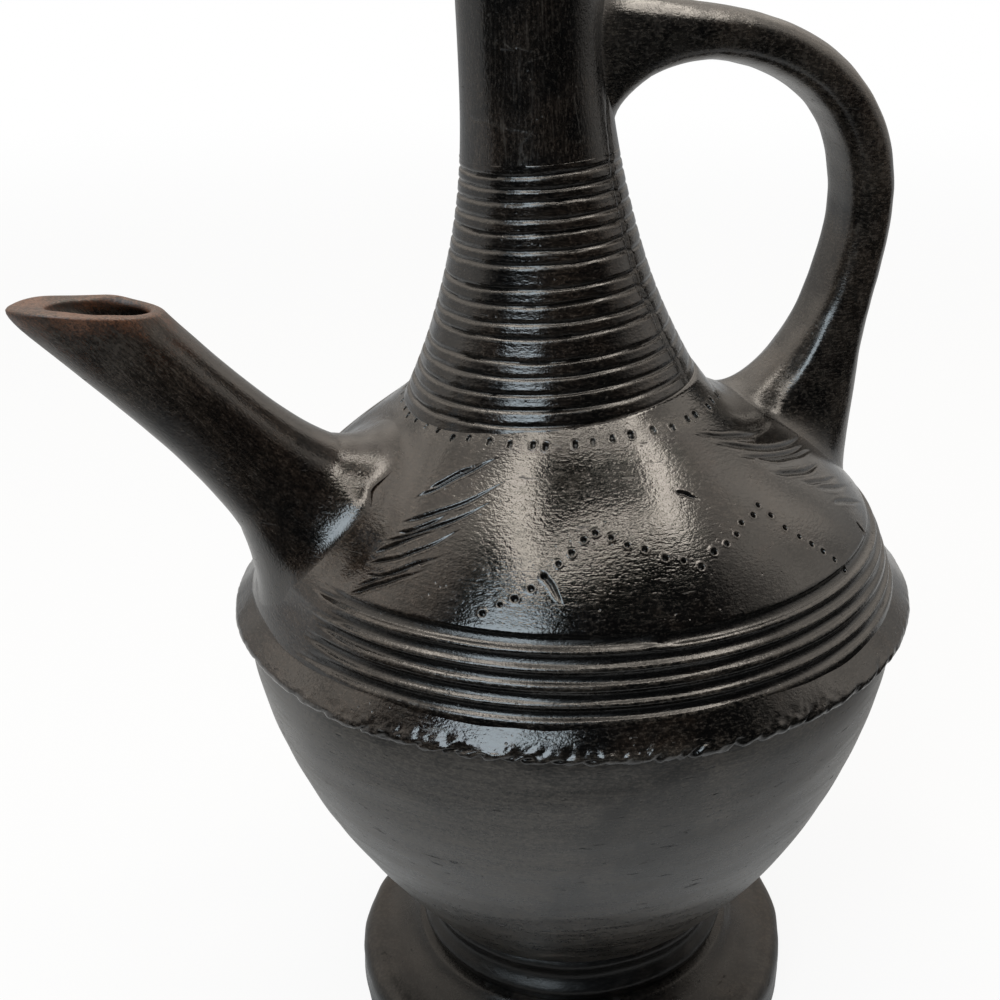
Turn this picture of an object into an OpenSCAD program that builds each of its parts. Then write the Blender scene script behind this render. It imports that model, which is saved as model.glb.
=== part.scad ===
// Hand-built clay coffee pot: a round body on a flared foot, a leaning ringed neck, a slant-cut
// spout, a loop handle and a straw stopper. The origin is the middle of the foot's resting face,
// +Z is up, the spout points to -X and the handle to +X.

/* [Foot] */
// Greatest radius of the foot
foot_r = 63; // [57:1:72]
// Height of the foot ring
foot_h = 21; // [19:1:27]
// Height of the foot's thick edge
foot_edge_h = 15; // [11:1:17]
// Rounding at the bottom of the thick edge
foot_low_round = 3.5; // [2:0.5:5]
// Rounding at the top of the thick edge
foot_top_round = 5; // [3:0.5:6]
// Width of the ring that the pot rests on
foot_rest_w = 9; // [6:0.5:12]
// Radius of the foot where it meets the waist
foot_top_r = 45; // [42:1:48]

/* [Waist] */
// Height of the ridged coil between foot and bowl
waist_h = 15; // [12:1:20]
// Radius of the coil's grooves at its top
waist_r = 41; // [38:1:44]
// Radius of the coil's grooves at its bottom
waist_low_r = 43; // [40:1:45]
// How far the ridges stand out
waist_ridge = 1.8; // [1:0.2:2.6]
// Number of ridges
waist_ridges = 2; // [1:1:4]
// Thickness of the coil
waist_wall = 10; // [7:0.5:13]

/* [Bowl] */
// Height of the bowl
bowl_h = 94; // [80:1:110]
// Radius of the bowl's underside
bowl_base_r = 44.5; // [43:0.5:50]
// Radius of the bowl at its seam
bowl_r = 85.6; // [78:0.2:96]
// Fullness of the bowl's curve
bowl_curve = 1.95; // [1.6:0.05:2.3]
// Thickness of the bowl and shoulder walls
wall = 6.5; // [5:0.5:8]
// Thickness of the bowl's floor
floor_t = 8; // [6:0.5:11]

/* [Belly band] */
// How far the band stands out past the bowl
band_out = 3.3; // [2.7:0.1:6]
// How far the band reaches below the seam
band_low = 3.5; // [2.5:0.5:5]
// How far the band reaches above the seam
band_up = 4.5; // [3.5:0.5:5.5]
// Rounding of the band's crest
band_round = 2.2; // [1.6:0.1:2.4]

/* [Shoulder] */
// Height of the shoulder, from the seam to the neck's seat
shoulder_h = 54; // [46:1:64]
// Height of the steep part below the dome
shoulder_band_h = 17; // [13:1:22]
// How far the steep part leans in
shoulder_in = 6; // [3:0.5:9]
// Fullness of the dome's curve
dome_curve = 1.3; // [1.15:0.05:1.6]
// Width of the ledge round the neck's base
seat_ledge = 0.7; // [0.4:0.1:2]
// Number of ring grooves on the shoulder
shoulder_rings = 5; // [2:1:6]
// Distance from one shoulder groove to the next
shoulder_ring_step = 3.6; // [3:0.1:4.6]
// Width of a shoulder groove
shoulder_ring_w = 2.2; // [1.4:0.1:2.6]
// Depth of a shoulder groove
shoulder_ring_d = 1; // [0.5:0.1:1.4]

/* [Neck] */
// Height of the neck, from its seat to the top of the mouth
neck_h = 128; // [118:1:144]
// Radius at the neck's base
neck_base_r = 37.5; // [33:0.5:42]
// Radius where the neck is narrowest
neck_r = 16.8; // [15.6:0.2:20]
// Height of the narrowest place above the seat
neck_narrow_h = 98; // [90:1:104]
// Sweep of the flare below the narrowest place
neck_curve = 2.6; // [2.2:0.05:2.9]
// Radius of the neck at the mouth
mouth_r = 23; // [21.5:0.5:26]
// Thickness of the neck's wall
neck_wall = 5; // [4:0.2:6]
// Angle by which the neck leans towards the spout
neck_lean = 3.2; // [0:0.1:5]
// Height of the point that the neck leans about
lean_z = 91; // [75:1:115]
// Plain strip above the top groove, where the ringed flare ends
flare_edge = 1.4; // [0.8:0.1:3]
// Height of the lowest groove above the seat
neck_ring_low = 2.4; // [1.6:0.2:3.4]
// Distance from one neck groove to the next
neck_ring_step = 3.35; // [2.8:0.05:3.6]
// Plain band left between two groups of grooves
neck_ring_gap = 1.8; // [0.8:0.1:2.4]
// Width of a neck groove
neck_ring_w = 1.6; // [1:0.1:2]
// Depth of a neck groove
neck_ring_d = 0.8; // [0.4:0.1:1.1]
// Height of the mouth's lip
rim_h = 8; // [6:0.5:11]
// How far the lip stands out past the neck
rim_out = 1.6; // [1:0.2:3]

/* [Spout] */
// Height of the spout's root above the seam
spout_root_h = 31; // [27:1:34]
// Angle at which the spout rises
spout_rise = 50; // [44:1:56]
// Height of the middle of the mouth above the seam
spout_mouth_h = 84; // [74:1:94]
// Tilt of the mouth's cut, up towards its tip
spout_cut = 7; // [0:1:15]
// Outer radius of the spout
spout_r = 10.6; // [9.8:0.2:12.4]
// Outer radius of the root that is smoothed onto the shoulder
spout_root_r = 20; // [16:0.5:22]
// Radius of the bore at the mouth
spout_bore_r = 6.6; // [5.4:0.2:7.2]
// Radius of the bore at the root
spout_bore_root_r = 8.6; // [7:0.2:10]
// How far the bore's mouth lies above the spout's axis
spout_bore_up = 1.2; // [0:0.1:1.5]
// How far the tip is drawn out below the mouth
spout_beak = 2.2; // [0:0.2:4]
// Rounding of the mouth's lip
spout_lip = 1.2; // [0.6:0.1:1.6]

/* [Handle] */
// Height of the handle's upper root above the neck's seat
handle_top_h = 80; // [76:1:88]
// Height of the handle's lower root above the seam
handle_root_h = 35; // [33:1:38]
// Distance of the handle's middle line from the pot's axis
handle_reach = 80; // [72:1:96]
// How far the handle swells above its upper root
handle_rise = 10; // [4:1:16]
// Thickness of the handle at the top
handle_t = 11.5; // [10:0.5:15]
// Thickness of the handle lower down
handle_low_t = 16; // [13:0.5:19]
// Width of the handle across
handle_w = 20; // [17:0.5:24]
// Extra half thickness of the upper root
handle_top_flare = 7; // [3:0.5:8]
// Extra half thickness of the lower root
handle_root_flare = 10; // [5:0.5:12]
// Extra half width of the lower root
handle_root_spread = 5; // [2:0.5:7]

/* [Stopper] */
// Depth of the plug in the mouth
plug_len = 26; // [18:1:34]
// Room between the plug and the neck
plug_room = 0.8; // [0.5:0.1:1.6]
// Radius of the straw cap
cap_r = 24; // [21:0.5:26]
// Height of the straw cap
cap_h = 13; // [9:0.5:18]
// Number of straw rows on the cap
cap_rows = 5; // [3:1:8]
// How far a straw row bulges
cap_row_d = 1; // [0.5:0.1:1.4]
// Radius of the loop that the stopper is lifted by
loop_r = 7.5; // [6:0.5:10]
// Radius of the loop's twisted straw
loop_straw_r = 2.2; // [1.6:0.1:3]

/* [Fits] */
// Thickness of the slip between two pieces that are luted together
lute_gap = 0.15; // [0.1:0.05:0.3]
// Thickness of the slip under the roots of spout and handle
root_gap = 0.3; // [0.25:0.05:0.5]
// Room between the stopper and the mouth it sits on
seat_gap = 0.3; // [0.2:0.05:0.5]

/* [Hidden] */
$fn = 96;

burnished_clay = [0.09, 0.08, 0.075];
worn_clay = [0.13, 0.1, 0.085];
straw = [0.72, 0.58, 0.34];

// Groups of neck grooves from the seat upwards, parted by plain bands
neck_ring_groups = [5, 4, 7];

bowl_z = foot_h + waist_h;
seam_z = bowl_z + bowl_h;
belly_r = bowl_r + band_out;
dome_z = seam_z + shoulder_band_h;
shoulder_r = bowl_r - shoulder_in;
seat_z = seam_z + shoulder_h;
seat_r = neck_base_r + seat_ledge;
tube_top_h = neck_h - rim_h;
spout_root_z = seam_z + spout_root_h;
handle_root_z = seam_z + handle_root_h;

// Numbers of points along the curves
curve_steps = 20;
arc_steps = 6;
ridge_steps = 8;
row_steps = 6;
spout_sides = 32;
spout_steps = 10;
bore_steps = 4;
handle_sides = 28;
handle_steps = 30;
handle_end_rings = 4;

// Sweep of the flares on belly band, mouth, spout root and spout tip, as powers
band_sweep = 1.5;
mouth_sweep = 2;
root_sweep = 4;
beak_sweep = 3;

// Share of the dome's height that runs on above the seat, where the seat's plane trims it
dome_spare = 0.3;

function sum(list, count, i = 0) = i >= count ? 0 : list[i] + sum(list, count, i + 1);

// Heights of the neck's grooves above the seat, and of the end of the ringed flare
neck_rings = [
    for (g = [0 : len(neck_ring_groups) - 1], i = [0 : neck_ring_groups[g] - 1])
        neck_ring_low + (sum(neck_ring_groups, g) + i) * neck_ring_step + g * neck_ring_gap
];
flare_h = neck_rings[len(neck_rings) - 1] + neck_ring_w / 2 + flare_edge;

function lerp(a, b, t) = a + (b - a) * t;

function flat(rings) = [for (ring = rings) each ring];

function arc(centre, r, from, to) =
    [for (i = [0 : arc_steps]) let (a = lerp(from, to, i / arc_steps)) centre + r * [cos(a), sin(a)]];

function bezier(p, t) =
    pow(1 - t, 3) * p[0] + 3 * pow(1 - t, 2) * t * p[1] + 3 * (1 - t) * t * t * p[2] + pow(t, 3) * p[3];

function bezier_slope(p, t) =
    pow(1 - t, 2) * (p[1] - p[0]) + 2 * (1 - t) * t * (p[2] - p[1]) + t * t * (p[3] - p[2]);

// An outline moved inwards by d along its own normals
function inset(points, d) = [
    for (i = [0 : len(points) - 1])
        let (
            along = points[min(i + 1, len(points) - 1)] - points[max(i - 1, 0)],
            dir = along / norm(along)
        )
        points[i] + d * [-dir.y, dir.x]
];

// Three outline points of a cut groove on the curve r(z)
function groove(r, z, w, d) = [[r(z - w / 2), z - w / 2], [r(z) - d, z], [r(z + w / 2), z + w / 2]];

function bowl_out(z) =
    lerp(bowl_base_r, bowl_r, 1 - pow(1 - (z - bowl_z) / bowl_h, bowl_curve));

// Outside of the shoulder: a steep band, then the dome
function shoulder_out(z) =
    z < dome_z ?
    lerp(bowl_r, shoulder_r, (z - seam_z) / shoulder_band_h) :
    lerp(shoulder_r, seat_r, pow((z - dome_z) / (seat_z - dome_z), dome_curve));

// Outside of the neck at height h above its seat
function neck_out(h) =
    h < neck_narrow_h ?
    lerp(neck_r, neck_base_r, pow(1 - h / neck_narrow_h, neck_curve)) :
    lerp(neck_r, mouth_r, pow((h - neck_narrow_h) / (neck_h - neck_narrow_h), mouth_sweep));

function neck_in(h) = neck_out(h) - neck_wall;

function to_neck(p) = [
    p.x * cos(neck_lean) + (p.z - lean_z) * sin(neck_lean),
    p.y,
    (p.z - lean_z) * cos(neck_lean) - p.x * sin(neck_lean) - (seat_z - lean_z)
];

function from_neck(q) =
    let (up = q.z + seat_z - lean_z)
    [q.x * cos(neck_lean) - up * sin(neck_lean), q.y, lean_z + q.x * sin(neck_lean) + up * cos(neck_lean)];

// Distances outside the slip that the roots are luted with
function off_shoulder(p) = norm([p.x, p.y]) - shoulder_out(p.z) - root_gap;

function off_neck(p) =
    let (q = to_neck(p))
    norm([q.x, q.y]) - neck_out(q.z) - root_gap;

// How far a point travels along dir until it lands on a surface
function land(off, p, dir, near, far, halvings = 24) =
    let (mid = (near + far) / 2)
    halvings == 0 ? mid :
    off(p + mid * dir) > 0 ? land(off, p, dir, mid, far, halvings - 1) :
    land(off, p, dir, near, mid, halvings - 1);

// Faces of a skin over rings of n points, ring k to ring k + 1
function skin(m, n, closed) = [
    for (k = [0 : m - (closed ? 1 : 2)], i = [0 : n - 1])
        let (
            j = (i + 1) % n,
            up = (k + 1) % m
        )
        each [[k * n + i, up * n + i, up * n + j], [k * n + i, up * n + j, k * n + j]]
];

// A hollow skin whose last ring joins its first
module tube_skin(rings) {
    polyhedron(flat(rings), skin(len(rings), len(rings[0]), true), convexity = 8);
}

// A solid skin closed by a point at each end
module rod_skin(rings, start, end) {
    n = len(rings[0]);
    last = (len(rings) - 1) * n;
    count = last + n;
    start_fan = [for (i = [0 : n - 1]) [count, i, (i + 1) % n]];
    end_fan = [for (i = [0 : n - 1]) [count + 1, last + (i + 1) % n, last + i]];
    polyhedron(
        concat(flat(rings), [start, end]),
        concat(skin(len(rings), n, false), start_fan, end_fan),
        convexity = 8
    );
}

module on_neck(h = 0) {
    translate([0, 0, lean_z])
        rotate([0, -neck_lean, 0])
            translate([0, 0, seat_z - lean_z + h])
                children();
}

module foot_ring() {
    edge_turn = 80;
    low_edge = arc([foot_r - foot_low_round, foot_low_round], foot_low_round, -90, 0);
    top_edge = arc([foot_r - foot_top_round, foot_edge_h - foot_top_round], foot_top_round, 0, edge_turn);
    edge_end = top_edge[arc_steps];
    flare = [
        for (i = [1 : curve_steps])
            let (t = i / curve_steps)
            [lerp(edge_end.x, foot_top_r, t), lerp(edge_end.y, foot_h, t * t)]
    ];
    inside = [[foot_top_r - waist_wall, foot_h], [foot_r - foot_low_round - foot_rest_w, 0]];
    color(worn_clay)
        rotate_extrude()
            polygon(concat(low_edge, top_edge, flare, inside));
}

module waist_coil() {
    low_z = foot_h + lute_gap;
    high_z = bowl_z - lute_gap;
    steps = waist_ridges * ridge_steps;
    ridged = [
        for (i = [0 : steps])
            let (t = i / steps)
            [
                lerp(waist_low_r, waist_r, t) + waist_ridge * (1 - cos(360 * waist_ridges * t)) / 2,
                lerp(low_z, high_z, t)
            ]
    ];
    inside = [[waist_r - waist_wall, high_z], [foot_top_r - waist_wall, low_z]];
    color(worn_clay)
        rotate_extrude()
            polygon(concat(ridged, inside));
}

module lower_bowl() {
    outside = [
        for (i = [0 : curve_steps])
            let (z = lerp(bowl_z, seam_z, i / curve_steps))
            [bowl_out(z), z]
    ];
    floor_z = bowl_z + floor_t;
    corner = wall / 2;
    inner = inset(outside, wall);
    inside = [
        for (i = [curve_steps : -1 : 0])
            if (inner[i].y > floor_z + corner / 2) [inner[i].x, min(inner[i].y, seam_z)]
    ];
    floor_r = inside[len(inside) - 1].x - corner;
    color(burnished_clay)
        rotate_extrude()
            polygon(concat([[0, bowl_z]], outside, inside, [[floor_r, floor_z], [0, floor_z]]));
}

module belly_band() {
    low_z = seam_z - band_low;
    top_z = seam_z + band_up;
    crest_low = -75;
    crest_high = 50;
    crest = arc([belly_r - band_round, seam_z], band_round, crest_low, crest_high);
    crest_end = crest[arc_steps];
    top_r = shoulder_out(top_z) + lute_gap;
    slope = [
        for (i = [1 : arc_steps])
            let (t = i / arc_steps)
            [lerp(crest_end.x, top_r, t), lerp(crest_end.y, top_z, pow(t, band_sweep))]
    ];
    inside = [[bowl_r + lute_gap, seam_z], [bowl_out(low_z) + lute_gap, low_z]];
    color(burnished_clay)
        rotate_extrude()
            polygon(concat(crest, slope, inside));
}

module shoulder() {
    low_z = seam_z + lute_gap;
    first_ring = seam_z + band_up + shoulder_ring_w;
    last_ring = first_ring + (shoulder_rings - 1) * shoulder_ring_step;
    dome_start = max(last_ring + shoulder_ring_w, dome_z);
    dome_end = lerp(dome_z, seat_z, 1 + dome_spare);
    rings = [
        for (i = [0 : shoulder_rings - 1])
            each groove(
                function (z) shoulder_out(z), first_ring + i * shoulder_ring_step,
                shoulder_ring_w, shoulder_ring_d
            )
    ];
    dome = [
        for (i = [0 : curve_steps])
            let (z = lerp(dome_start, dome_end, i / curve_steps))
            [shoulder_out(z), z]
    ];
    smooth = [
        for (i = [0 : curve_steps])
            let (z = lerp(dome_z, dome_end, i / curve_steps))
            [shoulder_out(z), z]
    ];
    inner = inset(smooth, wall);
    inside = [for (i = [curve_steps : -1 : 0]) inner[i]];
    seam = [[bowl_r - wall, low_z], [shoulder_out(low_z), low_z]];
    color(burnished_clay)
        difference() {
            rotate_extrude()
                polygon(concat(seam, rings, dome, inside));
            on_neck()
                cylinder(h = shoulder_h, r = bowl_r);
            on_neck(-shoulder_h / 2)
                cylinder(h = shoulder_h, r = neck_in(0));
            spout_bore_cut();
        }
}

module neck_flare() {
    rings = [for (h = neck_rings) each groove(function (z) neck_out(z), h, neck_ring_w, neck_ring_d)];
    inside = [
        for (i = [curve_steps : -1 : 0])
            let (h = lerp(lute_gap, flare_h, i / curve_steps))
            [neck_in(h), h]
    ];
    ends = [[neck_out(flare_h), flare_h]];
    color(burnished_clay)
        on_neck()
            rotate_extrude()
                polygon(concat([[neck_out(lute_gap), lute_gap]], rings, ends, inside));
}

module neck_tube() {
    heights = [
        for (i = [0 : curve_steps]) lerp(flare_h + lute_gap, tube_top_h, i / curve_steps)
    ];
    outside = [for (h = heights) [neck_out(h), h]];
    inside = [for (i = [curve_steps : -1 : 0]) [neck_in(heights[i]), heights[i]]];
    color(burnished_clay)
        on_neck()
            rotate_extrude()
                polygon(concat(outside, inside));
}

module mouth_rim() {
    low_h = tube_top_h + lute_gap;
    lip_r = (mouth_r + rim_out - neck_in(neck_h)) / 2;
    lip = arc([neck_in(neck_h) + lip_r, neck_h - lip_r], lip_r, 0, 180);
    color(burnished_clay)
        on_neck()
            rotate_extrude()
                polygon(concat([[neck_out(low_h), low_h]], lip, [[neck_in(low_h), low_h]]));
}

// Spout axis, its upper normal, the middle of its root and of its mouth
spout_dir = [-cos(spout_rise), 0, sin(spout_rise)];
spout_up = [sin(spout_rise), 0, cos(spout_rise)];
spout_root = [-shoulder_out(spout_root_z), 0, spout_root_z];
spout_len = (seam_z + spout_mouth_h - spout_root_z) / sin(spout_rise);
spout_mouth = spout_root + spout_len * spout_dir;
spout_cut_normal = [sin(spout_cut), 0, cos(spout_cut)];

// Offset of line i from the axis, with the middle raised by up and the underside drawn out by beak
function spout_offset(i, r, up = 0, beak = 0) =
    let (
        a = 360 * i / spout_sides,
        under = pow(max(0, -cos(a)), beak_sweep)
    )
    (r * cos(a) + up - beak * under) * spout_up + r * sin(a) * [0, 1, 0];

// Places along the spout's axis where line i meets the shoulder and the cut of the mouth
function spout_start(offset) =
    -land(function (p) off_shoulder(p), spout_root + offset, -spout_dir, -spout_root_r, spout_root_r);

function spout_end(offset) =
    (spout_mouth - spout_root - offset) * spout_cut_normal / (spout_dir * spout_cut_normal);

// Ring at share v of the way from shoulder to mouth, with radius r there and root_r at the root
function spout_ring(v, r, root_r, up = 0, beak = 0) = [
    for (i = [0 : spout_sides - 1])
        let (
            offset = spout_offset(i, r, up, beak),
            s = lerp(spout_start(spout_offset(i, root_r)), spout_end(offset), v)
        )
        spout_root + s * spout_dir + offset
];

module spout_bore_cut() {
    reach = 3 * wall;
    translate(spout_root)
        rotate([0, spout_rise - 90, 0])
            translate([0, 0, -reach])
                cylinder(h = 2 * reach, r = spout_bore_root_r);
}

module spout() {
    lip_share = 1 - spout_lip / spout_len;
    outer = [
        for (k = [0 : spout_steps])
            let (v = lip_share * pow(k / spout_steps, 2))
            spout_ring(
                v, lerp(spout_r, spout_root_r, pow(1 - v, root_sweep)), spout_root_r, 0, spout_beak * v * v
            )
    ];
    lip = [
        spout_ring(1, spout_r - spout_lip, spout_root_r, 0, spout_beak),
        spout_ring(1, spout_bore_r + spout_lip / 2, spout_bore_root_r, spout_bore_up)
    ];
    inner = [
        for (k = [bore_steps : -1 : 0])
            let (v = lip_share * k / bore_steps)
            spout_ring(v, lerp(spout_bore_root_r, spout_bore_r, v), spout_bore_root_r, spout_bore_up * v)
    ];
    under_r = (spout_bore_root_r + spout_root_r) / 2;
    under = [spout_ring(0, under_r, under_r)];
    color(burnished_clay)
        tube_skin(concat(outer, lip, inner, under));
}

// Shares of the way from shoulder to neck, or from neck to reach, that shape the handle's curves
bend_up = 0.6;
over_out = 0.52;
over_up = 0.85;
down_straight = 0.27;
down_in = 0.4;
down_drop = 0.58;

// Middle line of the handle: a curve out and over from the neck, then one down to the shoulder
handle_start = from_neck([neck_out(handle_top_h), 0, handle_top_h]);
handle_end = [shoulder_out(handle_root_z), 0, handle_root_z];
handle_bend_z = lerp(handle_end.z, handle_start.z, bend_up);
handle_bend = [handle_reach, 0, handle_bend_z];
handle_over = [
    handle_start,
    [lerp(handle_start.x, handle_reach, over_out), 0, handle_start.z + handle_rise],
    [handle_reach, 0, lerp(handle_bend_z, handle_start.z, over_up)],
    handle_bend
];
handle_down = [
    handle_bend,
    [handle_reach, 0, lerp(handle_bend_z, handle_end.z, down_straight)],
    [lerp(handle_reach, handle_end.x, down_in), 0, lerp(handle_bend_z, handle_end.z, down_drop)],
    handle_end
];

function handle_at(v) = v < 0.5 ? bezier(handle_over, 2 * v) : bezier(handle_down, 2 * v - 1);

function handle_dir(v) =
    let (slope = v < 0.5 ? bezier_slope(handle_over, 2 * v) : bezier_slope(handle_down, 2 * v - 1))
    slope / norm(slope);

// How far the roots reach along the handle, as shares of its length
top_share = 0.14;
root_share = 0.3;

function top_pull(v) = pow(max(0, 1 - v / top_share), 2);

function root_pull(v) = pow(max(0, 1 - (1 - v) / root_share), 2);

// Point i of the handle's oval at share v, drawn in by the factor size
function handle_offset(v, i, size) =
    let (
        a = 360 * i / handle_sides,
        dir = handle_dir(v),
        t = lerp(handle_t, handle_low_t, v) / 2 + handle_top_flare * top_pull(v)
            + handle_root_flare * root_pull(v),
        w = handle_w / 2 + handle_root_spread * root_pull(v)
    )
    size * (t * cos(a) * [dir.z, 0, -dir.x] + w * sin(a) * [0, 1, 0]);

// How far the ends may be shifted along the middle line to land
top_search = 0.8 * neck_r;
root_search = 1.2 * handle_w;

// Shifts along the middle line that set the ends on neck and shoulder
function top_shift(offset) =
    -land(function (p) off_neck(p), handle_start + offset, -handle_dir(0), -handle_w, top_search);

function root_shift(offset) =
    land(function (p) off_shoulder(p), handle_end + offset, handle_dir(1), -root_search, root_search);

function handle_ring(v, size = 1) = [
    for (i = [0 : handle_sides - 1])
        let (
            shift = top_pull(v) * top_shift(handle_offset(0, i, size))
                + root_pull(v) * root_shift(handle_offset(1, i, size))
        )
        handle_at(v) + handle_offset(v, i, size) + shift * handle_dir(v)
];

module handle() {
    inner_rings = handle_end_rings - 1;
    top_cap = [for (k = [1 : inner_rings]) handle_ring(0, k / handle_end_rings)];
    bar = [for (k = [0 : handle_steps]) handle_ring(k / handle_steps)];
    root_cap = [for (k = [inner_rings : -1 : 1]) handle_ring(1, k / handle_end_rings)];
    start = handle_start + top_shift([0, 0, 0]) * handle_dir(0);
    end = handle_end + root_shift([0, 0, 0]) * handle_dir(1);
    color(burnished_clay)
        rod_skin(concat(top_cap, bar, root_cap), start, end);
}

module stopper_plug() {
    low_h = neck_h - plug_len;
    top_h = neck_h + seat_gap;
    side = [
        for (i = [0 : arc_steps])
            let (h = lerp(low_h, neck_h - rim_h, i / arc_steps))
            [neck_in(h) - plug_room, h]
    ];
    neck = [[neck_in(neck_h - rim_h) - plug_room, top_h]];
    color(straw)
        on_neck()
            rotate_extrude()
                polygon(concat([[0, low_h]], side, neck, [[0, top_h]]));
}

module stopper_cap() {
    steps = cap_rows * row_steps;
    rows = [
        for (i = [0 : steps])
            let (
                a = 90 * i / steps,
                bulge = cap_row_d * cos(a) * abs(sin(180 * cap_rows * i / steps)),
                out = [cap_h * cos(a), cap_r * sin(a)]
            )
            [cap_r * cos(a), cap_h * sin(a)] + bulge * out / norm(out)
    ];
    color(straw)
        on_neck(neck_h + seat_gap + lute_gap)
            rotate_extrude()
                polygon(concat([[0, 0]], rows));
}

module stopper_loop() {
    base_h = cap_h + lute_gap;
    mid_h = 0.7 * loop_r;
    span = loop_r + loop_straw_r;
    color(straw)
        on_neck(neck_h + seat_gap + lute_gap)
            difference() {
                translate([0, 0, base_h + mid_h])
                    rotate([90, 0, 0])
                        rotate_extrude()
                            translate([loop_r, 0])
                                circle(r = loop_straw_r);
                translate([-span, -span, base_h - 2 * span])
                    cube([2 * span, 2 * span, 2 * span]);
            }
}

foot_ring();
waist_coil();
lower_bowl();
belly_band();
shoulder();
neck_flare();
neck_tube();
mouth_rim();
spout();
handle();
stopper_plug();
stopper_cap();
stopper_loop();
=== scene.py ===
"""Looks of a hand-built, burnished clay coffee pot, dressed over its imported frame."""

import logging
import math
from dataclasses import dataclass, field
from enum import Enum
from typing import Callable, Sequence

import bmesh
import bpy
import numpy as np
from mathutils.kdtree import KDTree
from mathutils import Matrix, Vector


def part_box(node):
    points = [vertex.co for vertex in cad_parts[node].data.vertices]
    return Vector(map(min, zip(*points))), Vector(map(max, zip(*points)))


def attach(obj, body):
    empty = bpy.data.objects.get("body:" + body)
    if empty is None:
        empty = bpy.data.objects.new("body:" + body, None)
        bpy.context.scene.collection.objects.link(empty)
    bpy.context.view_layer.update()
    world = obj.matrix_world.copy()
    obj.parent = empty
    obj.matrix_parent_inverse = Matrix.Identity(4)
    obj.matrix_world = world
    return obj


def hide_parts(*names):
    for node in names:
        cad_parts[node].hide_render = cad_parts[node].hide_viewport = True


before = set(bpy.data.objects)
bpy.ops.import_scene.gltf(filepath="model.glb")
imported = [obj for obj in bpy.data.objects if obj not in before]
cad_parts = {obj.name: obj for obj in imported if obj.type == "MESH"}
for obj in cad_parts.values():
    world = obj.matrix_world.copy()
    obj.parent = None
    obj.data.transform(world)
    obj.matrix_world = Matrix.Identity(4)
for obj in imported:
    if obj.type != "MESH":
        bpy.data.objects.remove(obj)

LOG = logging.getLogger("coffee_pot")
MM = 0.001
TAU = 2.0 * math.pi
SHARP = math.radians(75.0)
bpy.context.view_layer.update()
ACROSS = np.array([0.0, 1.0, 0.0])

Array = np.ndarray
Colour = tuple[float, float, float, float]
Faces = list[list[int]]
Socket = bpy.types.NodeSocket
Material = bpy.types.Material


class Rider(Enum):
    """The bodies of the frame that pieces ride on."""

    POT = "pot"
    STOPPER = "stopper"


class Slot(Enum):
    """The record's material slots."""

    BURNISHED = "burnished_clay"
    BOWL = "bowl_clay"
    FOOT = "foot_clay"
    STRAW = "straw"


class Paint(Enum):
    """Traces of making and use, and the shade painted into hollows, that a mesh carries for its finish.
    """

    WORN = "worn"
    # painted shade in hollows, grooves, gaps and under overhangs
    CARVED = "carved"
    RAW = "raw"
    ALONG = "along"
    AROUND = "around"


def lerp(low: Array | float, high: Array | float, share: Array | float) -> Array | float:
    """Value at a share of the way from low to high."""
    return low + (high - low) * share


def ease(low: float, high: float, value: Array) -> Array:
    """Smooth rise from 0 at low to 1 at high."""
    share = np.clip((value - low) / (high - low), 0.0, 1.0)
    return share * share * (3.0 - 2.0 * share)


def bell(gap: Array, width: float) -> Array:
    """Smooth hump that is 1 at no gap and fades over the width."""
    return np.exp(-np.square(gap / width))


def angle_gap(angle: Array, other: Array | float) -> Array:
    """Signed gap from another angle, in radians."""
    return (angle - other + math.pi) % TAU - math.pi


def polar(radius: Array, angle: Array, height: Array) -> Array:
    """Points at radii, angles and heights about the Z axis."""
    return np.stack([radius * np.cos(angle), radius * np.sin(angle), height], axis=-1)


def unit(vectors: Array) -> Array:
    """Vectors scaled to length one."""
    return vectors / np.linalg.norm(vectors, axis=-1, keepdims=True)


def spread_numbers(seed: int, count: int, low: float, high: float) -> Array:
    """Seeded jitter numbers between low and high."""
    return np.random.default_rng(seed).uniform(low, high, count)


def once_round(count: int) -> Array:
    """Angles of so many points once round."""
    return TAU * np.arange(count) / count


def lengths_along(path: Array) -> Array:
    """Length from the first point of a path to each of its points."""
    steps = np.linalg.norm(np.diff(path, axis=0), axis=1)
    return np.concatenate([[0.0], np.cumsum(steps)])


def read_columns(places: Array, known: Array, table: Array) -> Array:
    """Each column of a table, read at places between the known ones."""
    return np.stack([np.interp(places, known, column) for column in table.T], axis=1)


def stay(points: Array) -> Array:
    """Points that are in the pot's frame already."""
    return points


@dataclass(frozen=True)
class Wobble:
    """Hand-made unevenness: slow waves that run through space.

    Attributes:
        seed: Which set of waves.
        height: About the largest rise, in millimetres.
        wave: About the length of the waves, in millimetres.
        stretch: How much tighter the waves lie along each axis.
    """

    seed: int
    height: float
    wave: float
    stretch: tuple[float, float, float] = (1.0, 1.0, 1.0)

    def at(self, points: Array) -> Array:
        """Rise at each point.

        Args:
            points: Places in millimetres, one per row.

        Returns:
            The rise at each place, in millimetres.
        """
        count = 10
        maker = np.random.default_rng(self.seed)
        ways = unit(maker.normal(size=(count, 3)))
        ways = ways * np.array(self.stretch) / (self.wave * maker.uniform(0.7, 1.8, (count, 1)))
        phases = maker.uniform(0.0, TAU, count)
        waves = np.sin(points @ (TAU * ways).T + phases)
        return self.height * waves.sum(axis=-1) / math.sqrt(2.0 * count)


def waves_at(waves: Sequence[Wobble], points: Array) -> Array:
    """Rise of several sets of waves together."""
    return sum(wave.at(points) for wave in waves)


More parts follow.
